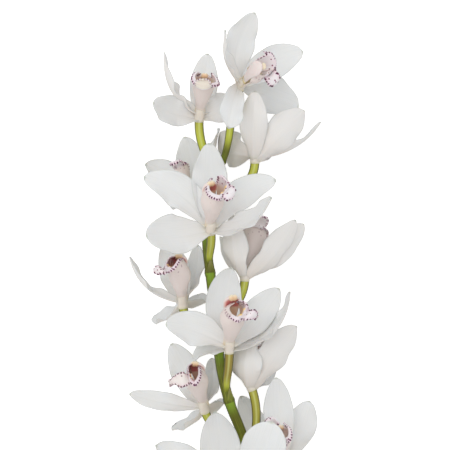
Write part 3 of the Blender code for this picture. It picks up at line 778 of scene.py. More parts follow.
Lobes = namedtuple("Lobes", "rim one_side other_side")
PICKED_LOBES = {
    "bloom_01": Lobes(
        ((255, 75, 80), (256.5, 79, 80), (260, 80, 79), (264, 79, 77), (271, 74, 71),
         (275.5, 67, 74), (275, 60, 77), (271, 54, 80), (263, 53, 83)),
        ((264, 79, 77), (265.5, 82, 79), (268.5, 86, 77), (271, 87, 74), (273, 86, 71)),
        ((275.5, 67, 74), (276, 72, 77), (279.5, 76, 76), (278.5, 80, 73), (276, 84, 70)),
    ),
    "bloom_02": Lobes(
        ((199, 75, 66), (195, 73, 69), (191.3, 78.5, 73), (194.5, 86, 77), (203, 90.5, 79),
         (212.5, 88, 77), (219.5, 86, 74), (217.5, 79, 70), (213, 74, 66)),
        ((194.5, 86, 77), (194.8, 84, 80), (196.5, 81.8, 82), (199, 80.4, 83), (201, 80.3, 83)),
        ((212.5, 88, 77), (211.5, 85, 80), (210, 82, 82), (207.5, 80.6, 83), (205.5, 80.5, 83)),
    ),
    "bloom_05": Lobes(
        ((210.5, 179, 82), (205.8, 186.5, 87), (208.5, 196.5, 92), (220, 201, 96), (227.5, 195, 94),
         (230, 185.5, 92), (227, 180.5, 89), (222, 176, 86), (217, 177, 82)),
        ((220, 201, 96), (222.5, 197.5, 99), (226.5, 201.5, 100), (231.5, 199, 98), (234, 195.5, 94)),
        ((230, 185.5, 92), (231.5, 186, 96), (233.5, 187, 98), (235, 189.5, 97), (235, 192, 94)),
    ),
    "bloom_07": Lobes(
        ((176.5, 258, 66), (171.5, 257, 69), (167.5, 260.5, 72), (165, 266.5, 75), (166.5, 270.5, 80),
         (171, 271.5, 83), (176, 268, 84), (180.5, 261, 80), (184, 259, 73)),
        ((165, 266.5, 75), (162.5, 268.8, 80), (160, 266, 81), (157, 265.4, 79), (154.5, 268, 76)),
        ((171, 271.5, 83), (167, 273, 85), (162, 274.2, 84), (157.3, 274.4, 81), (154, 271.5, 77)),
    ),
    "bloom_08": Lobes(
        ((233, 303, 82), (226.3, 308.5, 86), (229, 316, 91), (238.5, 321.3, 95), (246, 315, 94),
         (248, 307, 92), (246, 302, 90), (240, 300, 87), (236, 302, 82)),
        ((238.5, 321.3, 95), (240.8, 318.6, 98), (245, 319.2, 100), (251, 318, 99), (255.5, 319, 94)),
        ((248, 307, 92), (250.5, 309.5, 97), (253.5, 308.2, 99), (256.3, 310, 97), (257.3, 315, 94)),
    ),
    "bloom_10": Lobes(
        ((194, 363.5, 62), (189, 364.5, 65), (187.3, 368.5, 68), (188.5, 374, 72), (189, 379, 76),
         (190.8, 382.5, 78), (196, 385, 78), (201, 377, 74), (200.5, 366, 67)),
        ((188.5, 374, 72), (182, 371.3, 78), (176.3, 374, 77), (172, 377.5, 76), (168.3, 379.5, 71)),
        ((190.8, 382.5, 78), (186, 385.2, 81), (180, 386.2, 80), (175, 383.5, 78), (170.5, 386.5, 71)),
    ),
    "bloom_11": Lobes(
        ((279.5, 423.3, 66), (272, 416.5, 69), (265, 419.8, 72), (263.5, 429, 76), (276, 443, 82),
         (288.5, 441, 81), (291.8, 435, 79), (290.2, 427.5, 75), (284.5, 422.5, 69)),
        ((263.5, 429, 76), (262.5, 436, 80), (265.5, 443, 82), (270, 448, 80), (274, 450, 76)),
        ((288.5, 441, 81), (284, 438.5, 84), (286.5, 443, 85), (284, 447, 82), (279, 450, 77)),
    ),
}
# Ahead, up and to the right of the neck, in millimetres, for a lip of full size
PLAIN_LOBES = Lobes(
    ((24, 6, -9), (31, 4, -11), (34, -1, -10), (33, -5.5, -5), (33.5, -6.5, 0),
     (33, -5.5, 5), (34, -1, 10), (31, 4, 11), (24, 6, 9)),
    ((33, -5.5, -5), (36, -6, -8), (40, -9.5, -9), (41, -14, -7.5), (39, -18.5, -3)),
    ((33, -5.5, 5), (36, -6, 8), (40, -9.5, 9), (41, -14, 7.5), (39, -18.5, 3)),
)


def lip_axes(bloom):
    """Where a bloom's lip starts, over its neck, and its ways ahead, up and to the right."""
    forward, up, right = axes(bloom.lip.ahead, bloom.lip.up)
    return np.array(bloom.base, float) + forward * (NECK_TOP + JOINT_GAP), forward, up, right


def picked_points(points):
    """Points picked on the photograph, in plan millimetres."""
    across, down, height = np.array(points, float).T
    return np.stack([(across - PHOTO_SIDE / 2) * PIXEL, (PHOTO_SIDE - down) * PIXEL, height], -1)


def lobes_of(name, bloom):
    """The three curves of a bloom's lip, in plan millimetres."""
    if name in PICKED_LOBES:
        return Lobes(*map(picked_points, PICKED_LOBES[name]))
    start, *ways = lip_axes(bloom)
    turned = np.array(ways) * bloom.lip.size
    return Lobes(*(start + np.array(curve, float) @ turned for curve in PLAIN_LOBES))


# %% [markdown]
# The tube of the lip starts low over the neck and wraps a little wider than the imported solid, so
# that no gap shows beside the column. Past its middle it swings out to the drawn rim over a
# crest. The front lobe starts inside the thickness of the rim, so the two sheets meet without a
# step, and its edges are ruffled.

# %% The shape of a lip
# Ahead, up, half width and bend in degrees
LIP_SECTIONS = (
    (-6.0, -0.9, 5.9, 85),
    (0.0, -1.6, 6.6, 95),
    (8.0, -4.6, 11.0, 112),
    (17.0, -6.4, 18.0, 128),
    (25.0, -6.6, 23.0, 130),
    (31.0, -5.8, 20.0, 112),
)
TUBE_STOPS = (0.0, 0.2, 0.424, 0.64)
SWING_STOP = 0.824
SWING_END = 0.92
SWING_SHARE = 0.6
SINUS = 0.25
ROLL_IN = 0.24
ROLL_RISE = 1.8
LOBE_OVERLAP = 0.16
LOBE_BULGE = 1.4
RUFFLE = 0.7
RUFFLES_ALONG = 4.5
RUFFLE_SKEW = 2
RUFFLE_STARTS = 0.2


def lip_tube(bloom, share, c):
    """The wrap of the lip round its column at a share of its length and at c across it."""
    start, forward, up, right = lip_axes(bloom)
    t = np.full(c.shape, share)
    station = catmull(LIP_SECTIONS, t)
    further = catmull(LIP_SECTIONS, np.minimum(t + 0.01, 1))
    nearer = catmull(LIP_SECTIONS, np.maximum(t - 0.01, 0))
    run = unit((further - nearer)[..., :2])
    normal = up * run[..., :1] - forward * run[..., 1:]
    ahead, height, half = (station[..., k, None] * bloom.lip.size for k in range(3))
    bend = np.radians(station[..., 3, None])
    angle = bend * c[..., None]
    aside = right * half * np.sin(angle) / bend
    return start + forward * ahead + up * height + aside + normal * half * (1 - np.cos(angle)) / bend


def throat_middle(bloom, lobes, t, c):
    """The middle surface of the tube and its curled rim."""
    rim = catmull(lobes.rim, (c + 1) / 2)
    crest = rim + (lobes.rim.mean(axis=0) - rim) * ROLL_IN + unit(bloom.lip.ahead) * ROLL_RISE
    swing = (crest - lip_tube(bloom, SWING_END, c)) * SWING_SHARE
    stops = [lip_tube(bloom, share, c) for share in TUBE_STOPS]
    return catmull([*stops, lip_tube(bloom, SWING_STOP, c) + swing, crest, rim], t)


def lobe_middle(bloom, lobes, t, c, phase):
    """The middle surface of the front lobe. Below t of 0 it lies in the rim of the tube."""
    ahead = np.clip(t, 0, 1)
    one = catmull(lobes.one_side, ahead)
    other = catmull(lobes.other_side, ahead)
    share = ((c + 1) / 2)[..., None]
    rim = catmull(lobes.rim, (SINUS * c + 1) / 2)
    chord = lobes.one_side[0] * (1 - share) + lobes.other_side[0] * share
    ruled = one * (1 - share) + other * share + (rim - chord) * ((1 - ahead) ** 2)[..., None]
    path = (lobes.one_side + lobes.other_side) / 2
    along = catmull(path, np.minimum(ahead + 0.02, 1)) - catmull(path, np.maximum(ahead - 0.02, 0))
    outside = unit(np.cross(unit(other - one), unit(along)))
    wave = np.sin(TURN * RUFFLES_ALONG * ahead + phase + RUFFLE_SKEW * c)
    wave = RUFFLE * c * c * wave * smooth_step(0, RUFFLE_STARTS, ahead)
    bulge = wave - LOBE_BULGE * (1 - c * c) * np.sin(math.pi * ahead)
    tucked = throat_middle(bloom, lobes, 1 + np.clip(t, -1, 0), SINUS * c)
    return np.where((t < 0)[..., None], tucked, ruled + outside * bulge[..., None])


# %% [markdown]
# The lip's spots follow its margin, so each point of the mesh is given its distance from the
# margin, and its place along it, both in millimetres.

# %% Measure from the margin
MARGIN_STARTS = 0.46
SIDE_POINTS = 30
EDGE_POINTS = 40


def lip_margin(bloom, lobes):
    """The free edge of a lip from one side of its root round to the other."""
    side = np.linspace(MARGIN_STARTS, 1, SIDE_POINTS)[:, None]
    left, right = (throat_middle(bloom, lobes, side, np.full(side.shape, c))[:, 0] for c in (-1.0, 1.0))
    edge = np.linspace(0, 1, EDGE_POINTS)
    return np.vstack([
        left,
        catmull(lobes.rim, edge * (1 - SINUS) / 2)[1:],
        catmull(lobes.one_side, edge)[1:],
        catmull(lobes.other_side, edge)[::-1],
        catmull(lobes.rim, 1 - edge[::-1] * (1 - SINUS) / 2)[1:],
        right[::-1][1:],
    ])


def margin_measures(points, margin):
    """The distance of each point from a line of points, and how far along it that is."""
    step = np.diff(margin, axis=0)
    length = np.linalg.norm(step, axis=1)
    run = np.cumsum(length) - length
    offset = points.reshape(-1, 1, 3) - margin[:-1]
    share = np.clip((offset * step).sum(axis=2) / np.maximum(length ** 2, 1e-9), 0, 1)
    gap = np.linalg.norm(offset - share[..., None] * step, axis=2)
    nearest = gap.argmin(axis=1)
    rows = np.arange(len(gap))
    along = run[nearest] + share[rows, nearest] * length[nearest]
    return {"to_margin": gap[rows, nearest].reshape(points.shape[:2]),
            "round_margin": along.reshape(points.shape[:2])}


# %% The two sheets of a lip
TUBE_ROWS = 56
TUBE_COLUMNS = 64
LOBE_ROWS = 44
LOBE_COLUMNS = 36
RIDGE_PLACE = 0.13
RIDGE_WIDTH = 0.055
RIDGE_HEIGHT = 1.3
RIDGE_RISES = (0.42, 0.54)
RIDGE_FALLS = (0.88, 0.82)
LIP_HALF_THICK = 0.3
LOBE_THICK_SHARES = (0.5, 0.9)
TUBE_HALF_SPAN = 10
LOBE_HALF_SPAN = 8
# How strongly a lip's inside is streaked with red or warmed with orange, and how much painted shade, a
# tan wash, lies on its front lobe
STREAKED = {"bloom_05": 0.15, "bloom_07": 0.9, "bloom_08": 0.2, "bloom_10": 1.0}
LOBE_SHADE = {"bloom_02": 0.5, "bloom_07": 0.1, "bloom_10": 0.25}
WARMTH = {"bloom_01": 0.1, "bloom_11": 0.3}


def lip_shape(name, bloom, chance):
    lobes = lobes_of(name, bloom)
    margin = lip_margin(bloom, lobes)
    t, c = grids(np.linspace(0, 1, TUBE_ROWS + 1), np.linspace(1, -1, TUBE_COLUMNS + 1))
    ridge = smooth_step(*RIDGE_RISES, t) * smooth_step(*RIDGE_FALLS, t)
    ridge = ridge * np.exp(-((np.abs(c) - RIDGE_PLACE) / RIDGE_WIDTH) ** 2)
    middle = throat_middle(bloom, lobes, t, c)
    tube = sheet_shape(middle, LIP_HALF_THICK + RIDGE_HEIGHT * ridge, LIP_HALF_THICK, {
        "along": t, "across": c * TUBE_HALF_SPAN, "ridge": ridge, "chance": chance,
        "streaked": STREAKED.get(name, 0.0), "warmth": WARMTH.get(name, 1.0),
        **margin_measures(middle, margin)})
    t, c = grids(np.linspace(-LOBE_OVERLAP, 1, LOBE_ROWS + 1), np.linspace(1, -1, LOBE_COLUMNS + 1))
    middle = lobe_middle(bloom, lobes, t, c, FULL_PHASE * chance)
    thin = LIP_HALF_THICK * np.where(t < 0, *LOBE_THICK_SHARES)
    front = sheet_shape(middle, thin, thin, {
        "along": 1 + t, "across": c * LOBE_HALF_SPAN, "chance": chance,
        # Painted shade: a tan wash over the front lobe where it rolls back
        "creamy": LOBE_SHADE.get(name, 0.0) * np.where(t < 0, 0.0, 1 - c ** 4),
        **margin_measures(middle, margin)})
    return join_shapes([tube, front])


# %% [markdown]
# The dots of the lip need no picture. One group makes a row of round dots just inside the margin,
# spaced along it and nudged about by noise. A second scatters smaller ones over the rest with a
# cell pattern.

# %% Dot groups
JITTER_SCALE = 0.55
JITTER = (0.25, 0.75, -0.8, 0.8)
INSET_VARIES = 0.5
RADIUS_VARIES = 0.35
DOT_EDGE = 0.08
SCATTER = 0.85
SMALL_DOT_EDGE = 0.0001


def make_margin_dots():
    """A row of dots that follows a margin. All sizes are in millimetres."""
    sizes = {"Round": 0.0, "Inward": 0.0, "Spacing": 2.0, "Radius": 0.6, "Inset": 0.9, "Chance": 0.0}
    group, given, made = new_group("margin_dots", sizes, ("Mask",))
    nudge = ramp(noise(pair(given["Round"], given["Chance"]), JITTER_SCALE, 1.0), *JITTER)
    cell = minus(maths("FRACT", maths("DIVIDE", given["Round"], given["Spacing"])), 0.5)
    gap_round = times(cell, given["Spacing"])
    gap_in = minus(given["Inward"], plus(given["Inset"], times(nudge, INSET_VARIES)))
    reach = maths("SQRT", plus(maths("POWER", gap_round, 2.0), maths("POWER", gap_in, 2.0)))
    size = times(given["Radius"], plus(1.0, times(nudge, RADIUS_VARIES)))
    put(made["Mask"], ramp(minus(size, reach), -DOT_EDGE, DOT_EDGE))
    return group


def make_scattered_dots():
    """Small dots strewn through space, so that a sheet cuts them at many sizes. In metres."""
    group, given, made = new_group("scattered_dots", {"Spacing": 0.0024, "Radius": 0.0004}, ("Mask",))
    values = {"Vector": place_in_steps(given["Spacing"]), "Scale": 1.0, "Randomness": SCATTER}
    cells = add_node(group, "ShaderNodeTexVoronoi", values)
    reach = times(cells.outputs["Distance"], given["Spacing"])
    put(made["Mask"], ramp(minus(given["Radius"], reach), -SMALL_DOT_EDGE, SMALL_DOT_EDGE))
    return group


margin_dots = make_margin_dots()
scattered_dots = make_scattered_dots()
print("nodes in the groups:", len(margin_dots.nodes), len(scattered_dots.nodes))

# %% [markdown]
# The lip's inner face is white with a pink wash towards the rim. Inside the mouth it turns to
# pale orange and then cream, with yellow ridges, and on some lips wine-red streaks run down it.
# Its outer face is a plain warm white that lets only a hint of the spots through.

# %% Lip finish
LIP_WHITE = (0.88, 0.84, 0.85, 1)
LIP_WASH = (0.84, 0.58, 0.68, 1)
LIP_DOT = (0.09, 0.005, 0.045, 1)
LIP_SPOT = (0.18, 0.012, 0.08, 1)
LIP_THROAT = (0.34, 0.05, 0.06, 1)
LIP_ORANGE = (0.95, 0.78, 0.64, 1)
LIP_DEEP = (0.86, 0.76, 0.56, 1)
LIP_RIDGE = (0.90, 0.62, 0.25, 1)
LIP_BACK = (0.80, 0.70, 0.66, 1)
LIP_BACK_BASE = (0.80, 0.66, 0.30, 1)
# Spans along the lip, but for the wash, which is in millimetres from the margin
OPEN_SPAN = (0.58, 0.68)
WASH_SPAN = (3.2, 0.2, 0.10, 0.62)
ORANGE_SPAN = (0.67, 0.58)
DEEP_SPAN = (0.55, 0.47)
STREAK_SPAN = (0.93, 0.77)
BACK_BASE_SPAN = (0.24, 0.0, 0.0, 0.5)
BACK_PALE_SPAN = (0.75, 1.1, 0.0, 0.7)
# Spans of the veins' height and the ridges' height, and the share of a spot seen from behind
STREAK_CORE = (0.42, 0.60, 0.25, 1.0)
RIDGE_CREST = (0.25, 0.8)
SHOWS_THROUGH = 0.45


def lip_look(tree, skin):
    along, across, inner, inward, run = attributes(
        tree, "along across inner_face to_margin round_margin")
    chance, warmth, streaked, ridge, creamy = attributes(
        tree, "chance warmth streaked ridge creamy")
    veins = use_group(tree, vein_group, Across=across, Along=along, Spacing=0.7, Drift=3.0)
    open_part = ramp(along, *OPEN_SPAN)
    small = use_group(tree, scattered_dots, Spacing=0.0033, Radius=0.00062)
    spots = times(small["Mask"], open_part)
    row = use_group(tree, margin_dots, Round=run, Inward=inward, Chance=chance, Spacing=2.2,
                    Radius=0.70, Inset=0.62)
    dots = times(row["Mask"], open_part)
    streaks = times(streaked, ramp(veins["Height"], *STREAK_CORE))
    front = paint(
        LIP_WHITE,
        (times(ramp(inward, *WASH_SPAN), open_part), LIP_WASH),
        (spots, LIP_SPOT),
        (dots, LIP_DOT),
        (times(ramp(along, *ORANGE_SPAN), warmth), LIP_ORANGE),
        (ramp(along, *DEEP_SPAN), LIP_DEEP),
        (times(streaks, ramp(along, *STREAK_SPAN)), LIP_THROAT),
        (times(ramp(ridge, *RIDGE_CREST), warmth), LIP_RIDGE),
    )
    colour = paint(
        LIP_BACK,
        (ramp(along, *BACK_BASE_SPAN), LIP_BACK_BASE),
        (ramp(along, *BACK_PALE_SPAN), LIP_WHITE),
        (times(maths("MAXIMUM", spots, dots), SHOWS_THROUGH), LIP_SPOT),
        (inner, front),
        # Painted shade: a tan wash over the front lobe
        (creamy, LIP_DEEP),
    )
    return colour, plus(times(veins["Height"], 0.6), skin["Height"])


lip_spotted = make_material(
    "lip_spotted", lip_look, cell=0.0004, bump=(0.4, 0.00025), gloss=(0.36, 0.5),
    soft=(0.15, (0.0015, 0.001, 0.001)))
before_lips = sum(triangles_made.values())
for name, bloom in BLOOMS.items():
    lip = lip_shape(name, bloom, draw.uniform(0, 1))
    make_piece(name + "_spotted_lip", lip, lip_spotted, name + "_lip")
print("triangles of lips:", sum(triangles_made.values()) - before_lips)

# %% [markdown]
# Above the lip arches the column, in which the flower joins its stamen and stigma. Its back is
# rounded, its belly is hollowed, and it broadens to two small wings before its tip, which wears
# the anther cap: a smooth two-lobed bead, cream to peach, that covers the pollen. The column is
# lofted from stations along its middle.

# %% The shape of a column and its anther cap
# Ahead, up, half width and half height
COLUMN_SECTIONS = (
    (0.0, 1.3, 2.4, 1.2),
    (7.0, 4.2, 3.0, 1.8),
    (17.0, 7.4, 4.3, 2.1),
    (25.0, 8.6, 5.8, 2.3),
    (30.0, 8.4, 5.9, 2.5),
    (33.5, 7.2, 3.8, 2.3),
    (34.8, 6.2, 1.5, 1.0),
)
COLUMN_ROWS = 40
COLUMN_SIDES = 28
COLUMN_HALF_SPAN = 4
BELLY_HOLLOW = 0.75
CAP_ROWS = 22
CAP_SIDES = 32
CAP_REACH = 1.5
CAP_HALF_WIDTH = 3.3
CAP_HALF_LENGTH = 2.7
CAP_HALF_HEIGHT = 2.2
CAP_GROOVE = 0.22
GROOVE_WIDTH = 0.22
PALE_COLUMNS = {"bloom_01": 0.1, "bloom_02": 0.12, "bloom_11": 0.15}
LONGER_COLUMNS = {"bloom_01": 1.2, "bloom_02": 0.87}
CAP_DROPS = {"bloom_01": 2.4}


def column_shape(name, bloom):
    start, forward, up, right = lip_axes(bloom)
    size = bloom.lip.size
    t = np.linspace(0, 1, COLUMN_ROWS + 1)
    station = catmull(COLUMN_SECTIONS, t)
    along = unit(np.gradient(station[:, :2], axis=0))
    angle = round_angles(COLUMN_SIDES)
    across = np.cos(angle)
    belly = np.clip(-np.sin(angle), 0, 1)
    high = np.sin(angle) * (1 - BELLY_HOLLOW * belly ** 3)
    rings = []
    for (ahead, height, half_width, half_height), (run, rise) in zip(station, along):
        middle = start + forward * ahead * size * LONGER_COLUMNS.get(name, 1.0) + up * height * size
        normal = up * run - forward * rise
        ring = middle + right * (across * half_width * (1 + size) / 2)[:, None]
        rings.append(ring + normal * (high * half_height * size)[:, None])
    values = {"along": t[:, None], "belly": belly, "across": across * COLUMN_HALF_SPAN,
              "warm": PALE_COLUMNS.get(name, 1.0)}
    return tube_shape(np.array(rings), values)


def anther_shape(name, bloom):
    start, forward, up, right = lip_axes(bloom)
    size = bloom.lip.size
    ahead, height = COLUMN_SECTIONS[-2][:2]
    middle = start + forward * ahead * size * LONGER_COLUMNS.get(name, 1.0)
    middle = middle + up * (height * size - CAP_DROPS.get(name, 0.0))
    lat, lon = grids(np.linspace(-CAP_REACH, CAP_REACH, CAP_ROWS), round_angles(CAP_SIDES))
    x = np.cos(lat) * np.cos(lon)
    y = np.cos(lat) * np.sin(lon)
    z = np.sin(lat)
    swell = size * (1 - CAP_GROOVE * np.exp(-(x / GROOVE_WIDTH) ** 2))
    parts = ((right, x * CAP_HALF_WIDTH), (up, y * CAP_HALF_HEIGHT), (forward, z * CAP_HALF_LENGTH))
    rings = middle + sum(way * (swell * reach)[..., None] for way, reach in parts)
    values = {"belly": np.clip(-y, 0, 1)}
    return tube_shape(rings, values)


# %% Column and cap finish
COLUMN_BACK = (0.84, 0.74, 0.71, 1)
COLUMN_BASE = (0.88, 0.74, 0.36, 1)
COLUMN_BELLY = (0.95, 0.72, 0.55, 1)
COLUMN_HOLLOW = (0.66, 0.20, 0.19, 1)
CAP_CREAM = (0.88, 0.78, 0.60, 1)
CAP_WARM = (0.88, 0.60, 0.36, 1)
COLUMN_BASE_SPAN = (0.2, 0.02)
BELLY_SPAN = (0.2, 0.36)
HOLLOW_SPAN = (0.46, 0.53)
UNDERSIDE = (0.12, 0.60)
WING_FADE = (2.4, 3.6, 1.0, 0.35)
CAP_UNDERSIDE = (0.1, 0.8, 0.1, 0.9)


def column_look(tree, skin):
    along, belly, warm, across = attributes(tree, "along belly warm across")
    under = times(ramp(belly, *UNDERSIDE), warm)
    under = times(under, ramp(maths("ABSOLUTE", across), *WING_FADE))
    colour = paint(
        COLUMN_BACK,
        (ramp(along, *COLUMN_BASE_SPAN), COLUMN_BASE),
        (times(under, ramp(along, *BELLY_SPAN)), COLUMN_BELLY),
        (times(under, ramp(along, *HOLLOW_SPAN)), COLUMN_HOLLOW),
    )
    return colour, skin["Height"]


def cap_look(tree, skin):
    belly, = attributes(tree, "belly")
    return paint(CAP_CREAM, (ramp(belly, *CAP_UNDERSIDE), CAP_WARM)), skin["Height"]


column_satin = make_material(
    "column_satin", column_look, cell=0.0004, bump=(0.3, 0.0002), gloss=(0.34, 0.48),
    soft=(0.2, (0.002, 0.0012, 0.0012)))
anther_cap = make_material(
    "anther_cap", cap_look, cell=0.0003, bump=(0.2, 0.0002), gloss=(0.35, 0.35),
    soft=(0.2, (0.002, 0.0015, 0.001)))
for name, bloom in BLOOMS.items():
    for label, shape, finish in (("_arched_column", column_shape, column_satin),
                                 ("_anther_cap", anther_shape, anther_cap)):
        make_piece(name + label, shape(name, bloom), finish, name + "_column")

# %% [markdown]
# The stalk is a smooth green rod that zigzags a little from node to node. At each node it swells,
# a pedicel leaves it and a small pointed bract stands below. All are swept along curves, and each
# pedicel starts inside the stalk and ends inside its bloom's neck, so that no seam shows.

# %% The stalk
# Across, along, height and radius
STALK_PATH = (
    (27.0, -226.0, 3.6, 3.6),
    (27.0, -200.0, 6.4, 3.6),
    (25.5, -150.0, 13.0, 3.7),
    (23.5, -90.0, 21.5, 3.7),
    (21.0, -40.0, 30.0, 3.7),
    (17.0, -10.0, 36.0, 3.6),
    (12.0, 10.0, 40.0, 3.5),
    (3.5, 32.0, 43.5, 3.6),
    (-2.5, 55.0, 45.0, 3.5),
    (-6.0, 82.0, 46.0, 3.4),
    (-8.5, 106.0, 46.5, 3.3),
    (-10.5, 124.0, 47.0, 3.4),
    (-13.0, 145.0, 46.5, 3.1),
    (-13.0, 168.0, 45.0, 3.0),
    (-8.0, 188.0, 44.0, 2.8),
    (-1.5, 203.0, 45.5, 2.6),
)
STALK_RINGS = 260
STALK_SIDES = 28
STALK_RIBS = 0.012
NODE_SWELL = 0.16
NODE_LENGTH = 2.0
FAR_FROM_NODE = 99.0

dense = catmull(STALK_PATH, np.linspace(0, 1, 4001))
node_places = np.array([bloom.stem.joint for bloom in BLOOMS.values()])


def stalk_station(y):
    """Across, along, height and radius of the stalk at places y along it."""
    return np.stack([np.interp(y, dense[:, 1], dense[:, k]) for k in range(4)], -1)


def stalk_at(y):
    """Middle, direction and radius of the stalk at places y along it."""
    y = np.asarray(y, float)
    here = stalk_station(y)
    way = stalk_station(y + 1) - stalk_station(y - 1)
    return here[..., :3], unit(way[..., :3]), here[..., 3]


def ring_round(middle, along, radius, sides, ribs):
    """Rings of points round a path. ribs gives the depth of six faint lengthwise ribs."""
    side = unit(np.cross(along, (0, 0, 1)))[:, None]
    top = np.cross(side, along[:, None])
    angle = round_angles(sides)
    reach = radius[:, None] * (1 + ribs * np.cos(6 * angle))
    spoke = side * np.cos(angle)[:, None] + top * np.sin(angle)[:, None]
    return middle[:, None] + spoke * reach[..., None], np.cos(angle)


def stalk_shape():
    y = np.linspace(STALK_PATH[0][1], STALK_PATH[-1][1], STALK_RINGS)
    middle, along, radius = stalk_at(y)
    along[0] = (0, 1, 0)
    gap = node_places - y[:, None]
    radius = radius * (1 + NODE_SWELL * np.exp(-(np.abs(gap).min(axis=1) / NODE_LENGTH) ** 2))
    rings, around = ring_round(middle, along, radius, STALK_SIDES, STALK_RIBS)
    below = np.where(gap > 0, gap, FAR_FROM_NODE).min(axis=1)
    return tube_shape(rings, {"height": y[:, None], "below_node": below[:, None], "round": around})


# %% The pedicels
PEDICEL_REACH = 1.2
PEDICEL_RADIUS = 2.4
PEDICEL_TOP_RADIUS = 3.1
PEDICEL_SIDES = 24
PEDICEL_RINGS = 44
PEDICEL_RIBS = 0.03
# Painted shadow of the bloom on the top end of its pedicel: how deep it lies, and where it starts
SHADOWED_PEDICELS = {"bloom_05": 0.35, "bloom_08": 0.9, "bloom_09": 0.6}
SHADOW_STARTS = (0.3, 0.7)


def pedicel_curve(bloom, t):
    """Places along a pedicel, from inside the stalk to inside the bloom's neck."""
    ahead = unit(bloom.stem.ahead)
    start, along, _ = stalk_at(bloom.stem.joint)
    end = np.array(bloom.base, float) + ahead * (NECK_BOTTOM + PEDICEL_REACH)
    first = start + along * bloom.stem.pull
    second = end - ahead * np.linalg.norm(end - start) * 0.5
    s = np.asarray(t, float)[..., None]
    return (start * (1 - s) ** 3 + first * 3 * s * (1 - s) ** 2
            + second * 3 * s * s * (1 - s) + end * s ** 3)


def pedicel_shape(name, bloom):
    t = np.linspace(0, 1, PEDICEL_RINGS)
    middle = pedicel_curve(bloom, t)
    along = unit(np.gradient(middle, axis=0))
    radius = PEDICEL_RADIUS + (PEDICEL_TOP_RADIUS - PEDICEL_RADIUS) * smooth_step(0, 1, t)
    rings, around = ring_round(middle, along, radius, PEDICEL_SIDES, PEDICEL_RIBS)
    # A painted shadow of the bloom over the top end of the pedicel
    brown = smooth_step(*SHADOW_STARTS, t) * SHADOWED_PEDICELS.get(name, 0.0)
    return tube_shape(rings, {"bloomward": t[:, None], "height": middle[:, 1:2], "round": around,
                              "brown": brown[:, None], "below_node": FAR_FROM_NODE})


# %% [markdown]
# Bracts are thin pointed scales. Those under the flowers are small, and three longer ones sheathe
# the bare lower stalk.

# %% The bracts
BRACT_LENGTH = 12.0
BRACT_HALF_WIDTH = 3.2
BRACT_BELOW = 3.5
BRACT_SINK = 0.8
BRACT_CURL = 0.45
BRACT_HALF_THICK = 0.3
BRACT_ROWS = 24
BRACT_COLUMNS = 12
# Where it starts, its way out, its length, its half width and how far its tip leans out
SHEATHS = (
    (-188.0, (0.8, 0.0, 0.6), 34.0, 4.6, 3.6),
    (-136.0, (-0.7, 0.0, 0.7), 32.0, 4.4, 3.8),
    (-98.0, (0.3, 0.0, 1.0), 26.0, 4.0, 3.4),
)


def bract_shape(place, out, length, half_width, lean):
    _, along, radius = stalk_at(place)
    out = square_to(np.asarray(out), along)
    t, c = grids(np.linspace(0, 1, BRACT_ROWS + 1), np.linspace(-1, 1, BRACT_COLUMNS + 1))
    centre, _, _ = stalk_at(place + length * t * along[1])
    half = half_width * (1 - 0.9 * t ** 1.7)
    curl = half_width * BRACT_CURL * c * c * (1 - t)
    lift = radius - BRACT_SINK + lean * t - curl
    middle = centre + out * lift[..., None] + np.cross(along, out) * (half * c)[..., None]
    values = {"dry": 0.05 + 0.75 * t ** 3, "height": centre[..., 1], "below_node": FAR_FROM_NODE,
              "round": c * 0.5}
    return sheet_shape(middle, BRACT_HALF_THICK, BRACT_HALF_THICK, values)


# %% [markdown]
# The stalk's green is never even: lime just under a node, deeper and more olive between them,
# and yellower along the pedicels. Each pedicel is browner where it meets its flower, a painted
# shadow of the bloom. A pale line down its middle is a painted highlight, and the flanks of stalk
# and pedicels are painted shade, because soft light from all round would leave the rod looking flat.

# %% Stalk finish
STALK_GREEN = (0.17, 0.22, 0.018, 1)
STALK_OLIVE = (0.12, 0.125, 0.010, 1)
STALK_LIME = (0.24, 0.40, 0.03, 1)
PEDICEL_YELLOW = (0.56, 0.61, 0.07, 1)
# Painted shadow of a bloom on its pedicel
PEDICEL_SHADOW = (0.30, 0.21, 0.045, 1)
# Painted highlight down a pedicel's middle, and painted shade on the flanks
PEDICEL_HIGHLIGHT = (0.70, 0.76, 0.30, 1)
STALK_SHADE = (0.085, 0.085, 0.010, 1)
BRACT_DRY = (0.36, 0.33, 0.13, 1)
GREEN_TONE = (0.35, 0.65)
LIME_SPAN = (12.0, 1.0, 0.0, 0.85)
YELLOW_SPAN = (0.15, 0.45)
SHADOW_SPAN = (0.7, 1.0, 0.0, 0.3)
HIGHLIGHT_SPAN = (0.3, 0.6)
# Spans of the painted highlight and the painted shade, by how far round towards a flank
HIGHLIGHT_LINE = (0.40, 0.0, 0.0, 0.5)
FLANK = (0.62, 0.97, 0.0, 0.85)
STREAK_SHARE = 0.35
GIRTH = 5.0
VEIN_STRETCH = 0.02


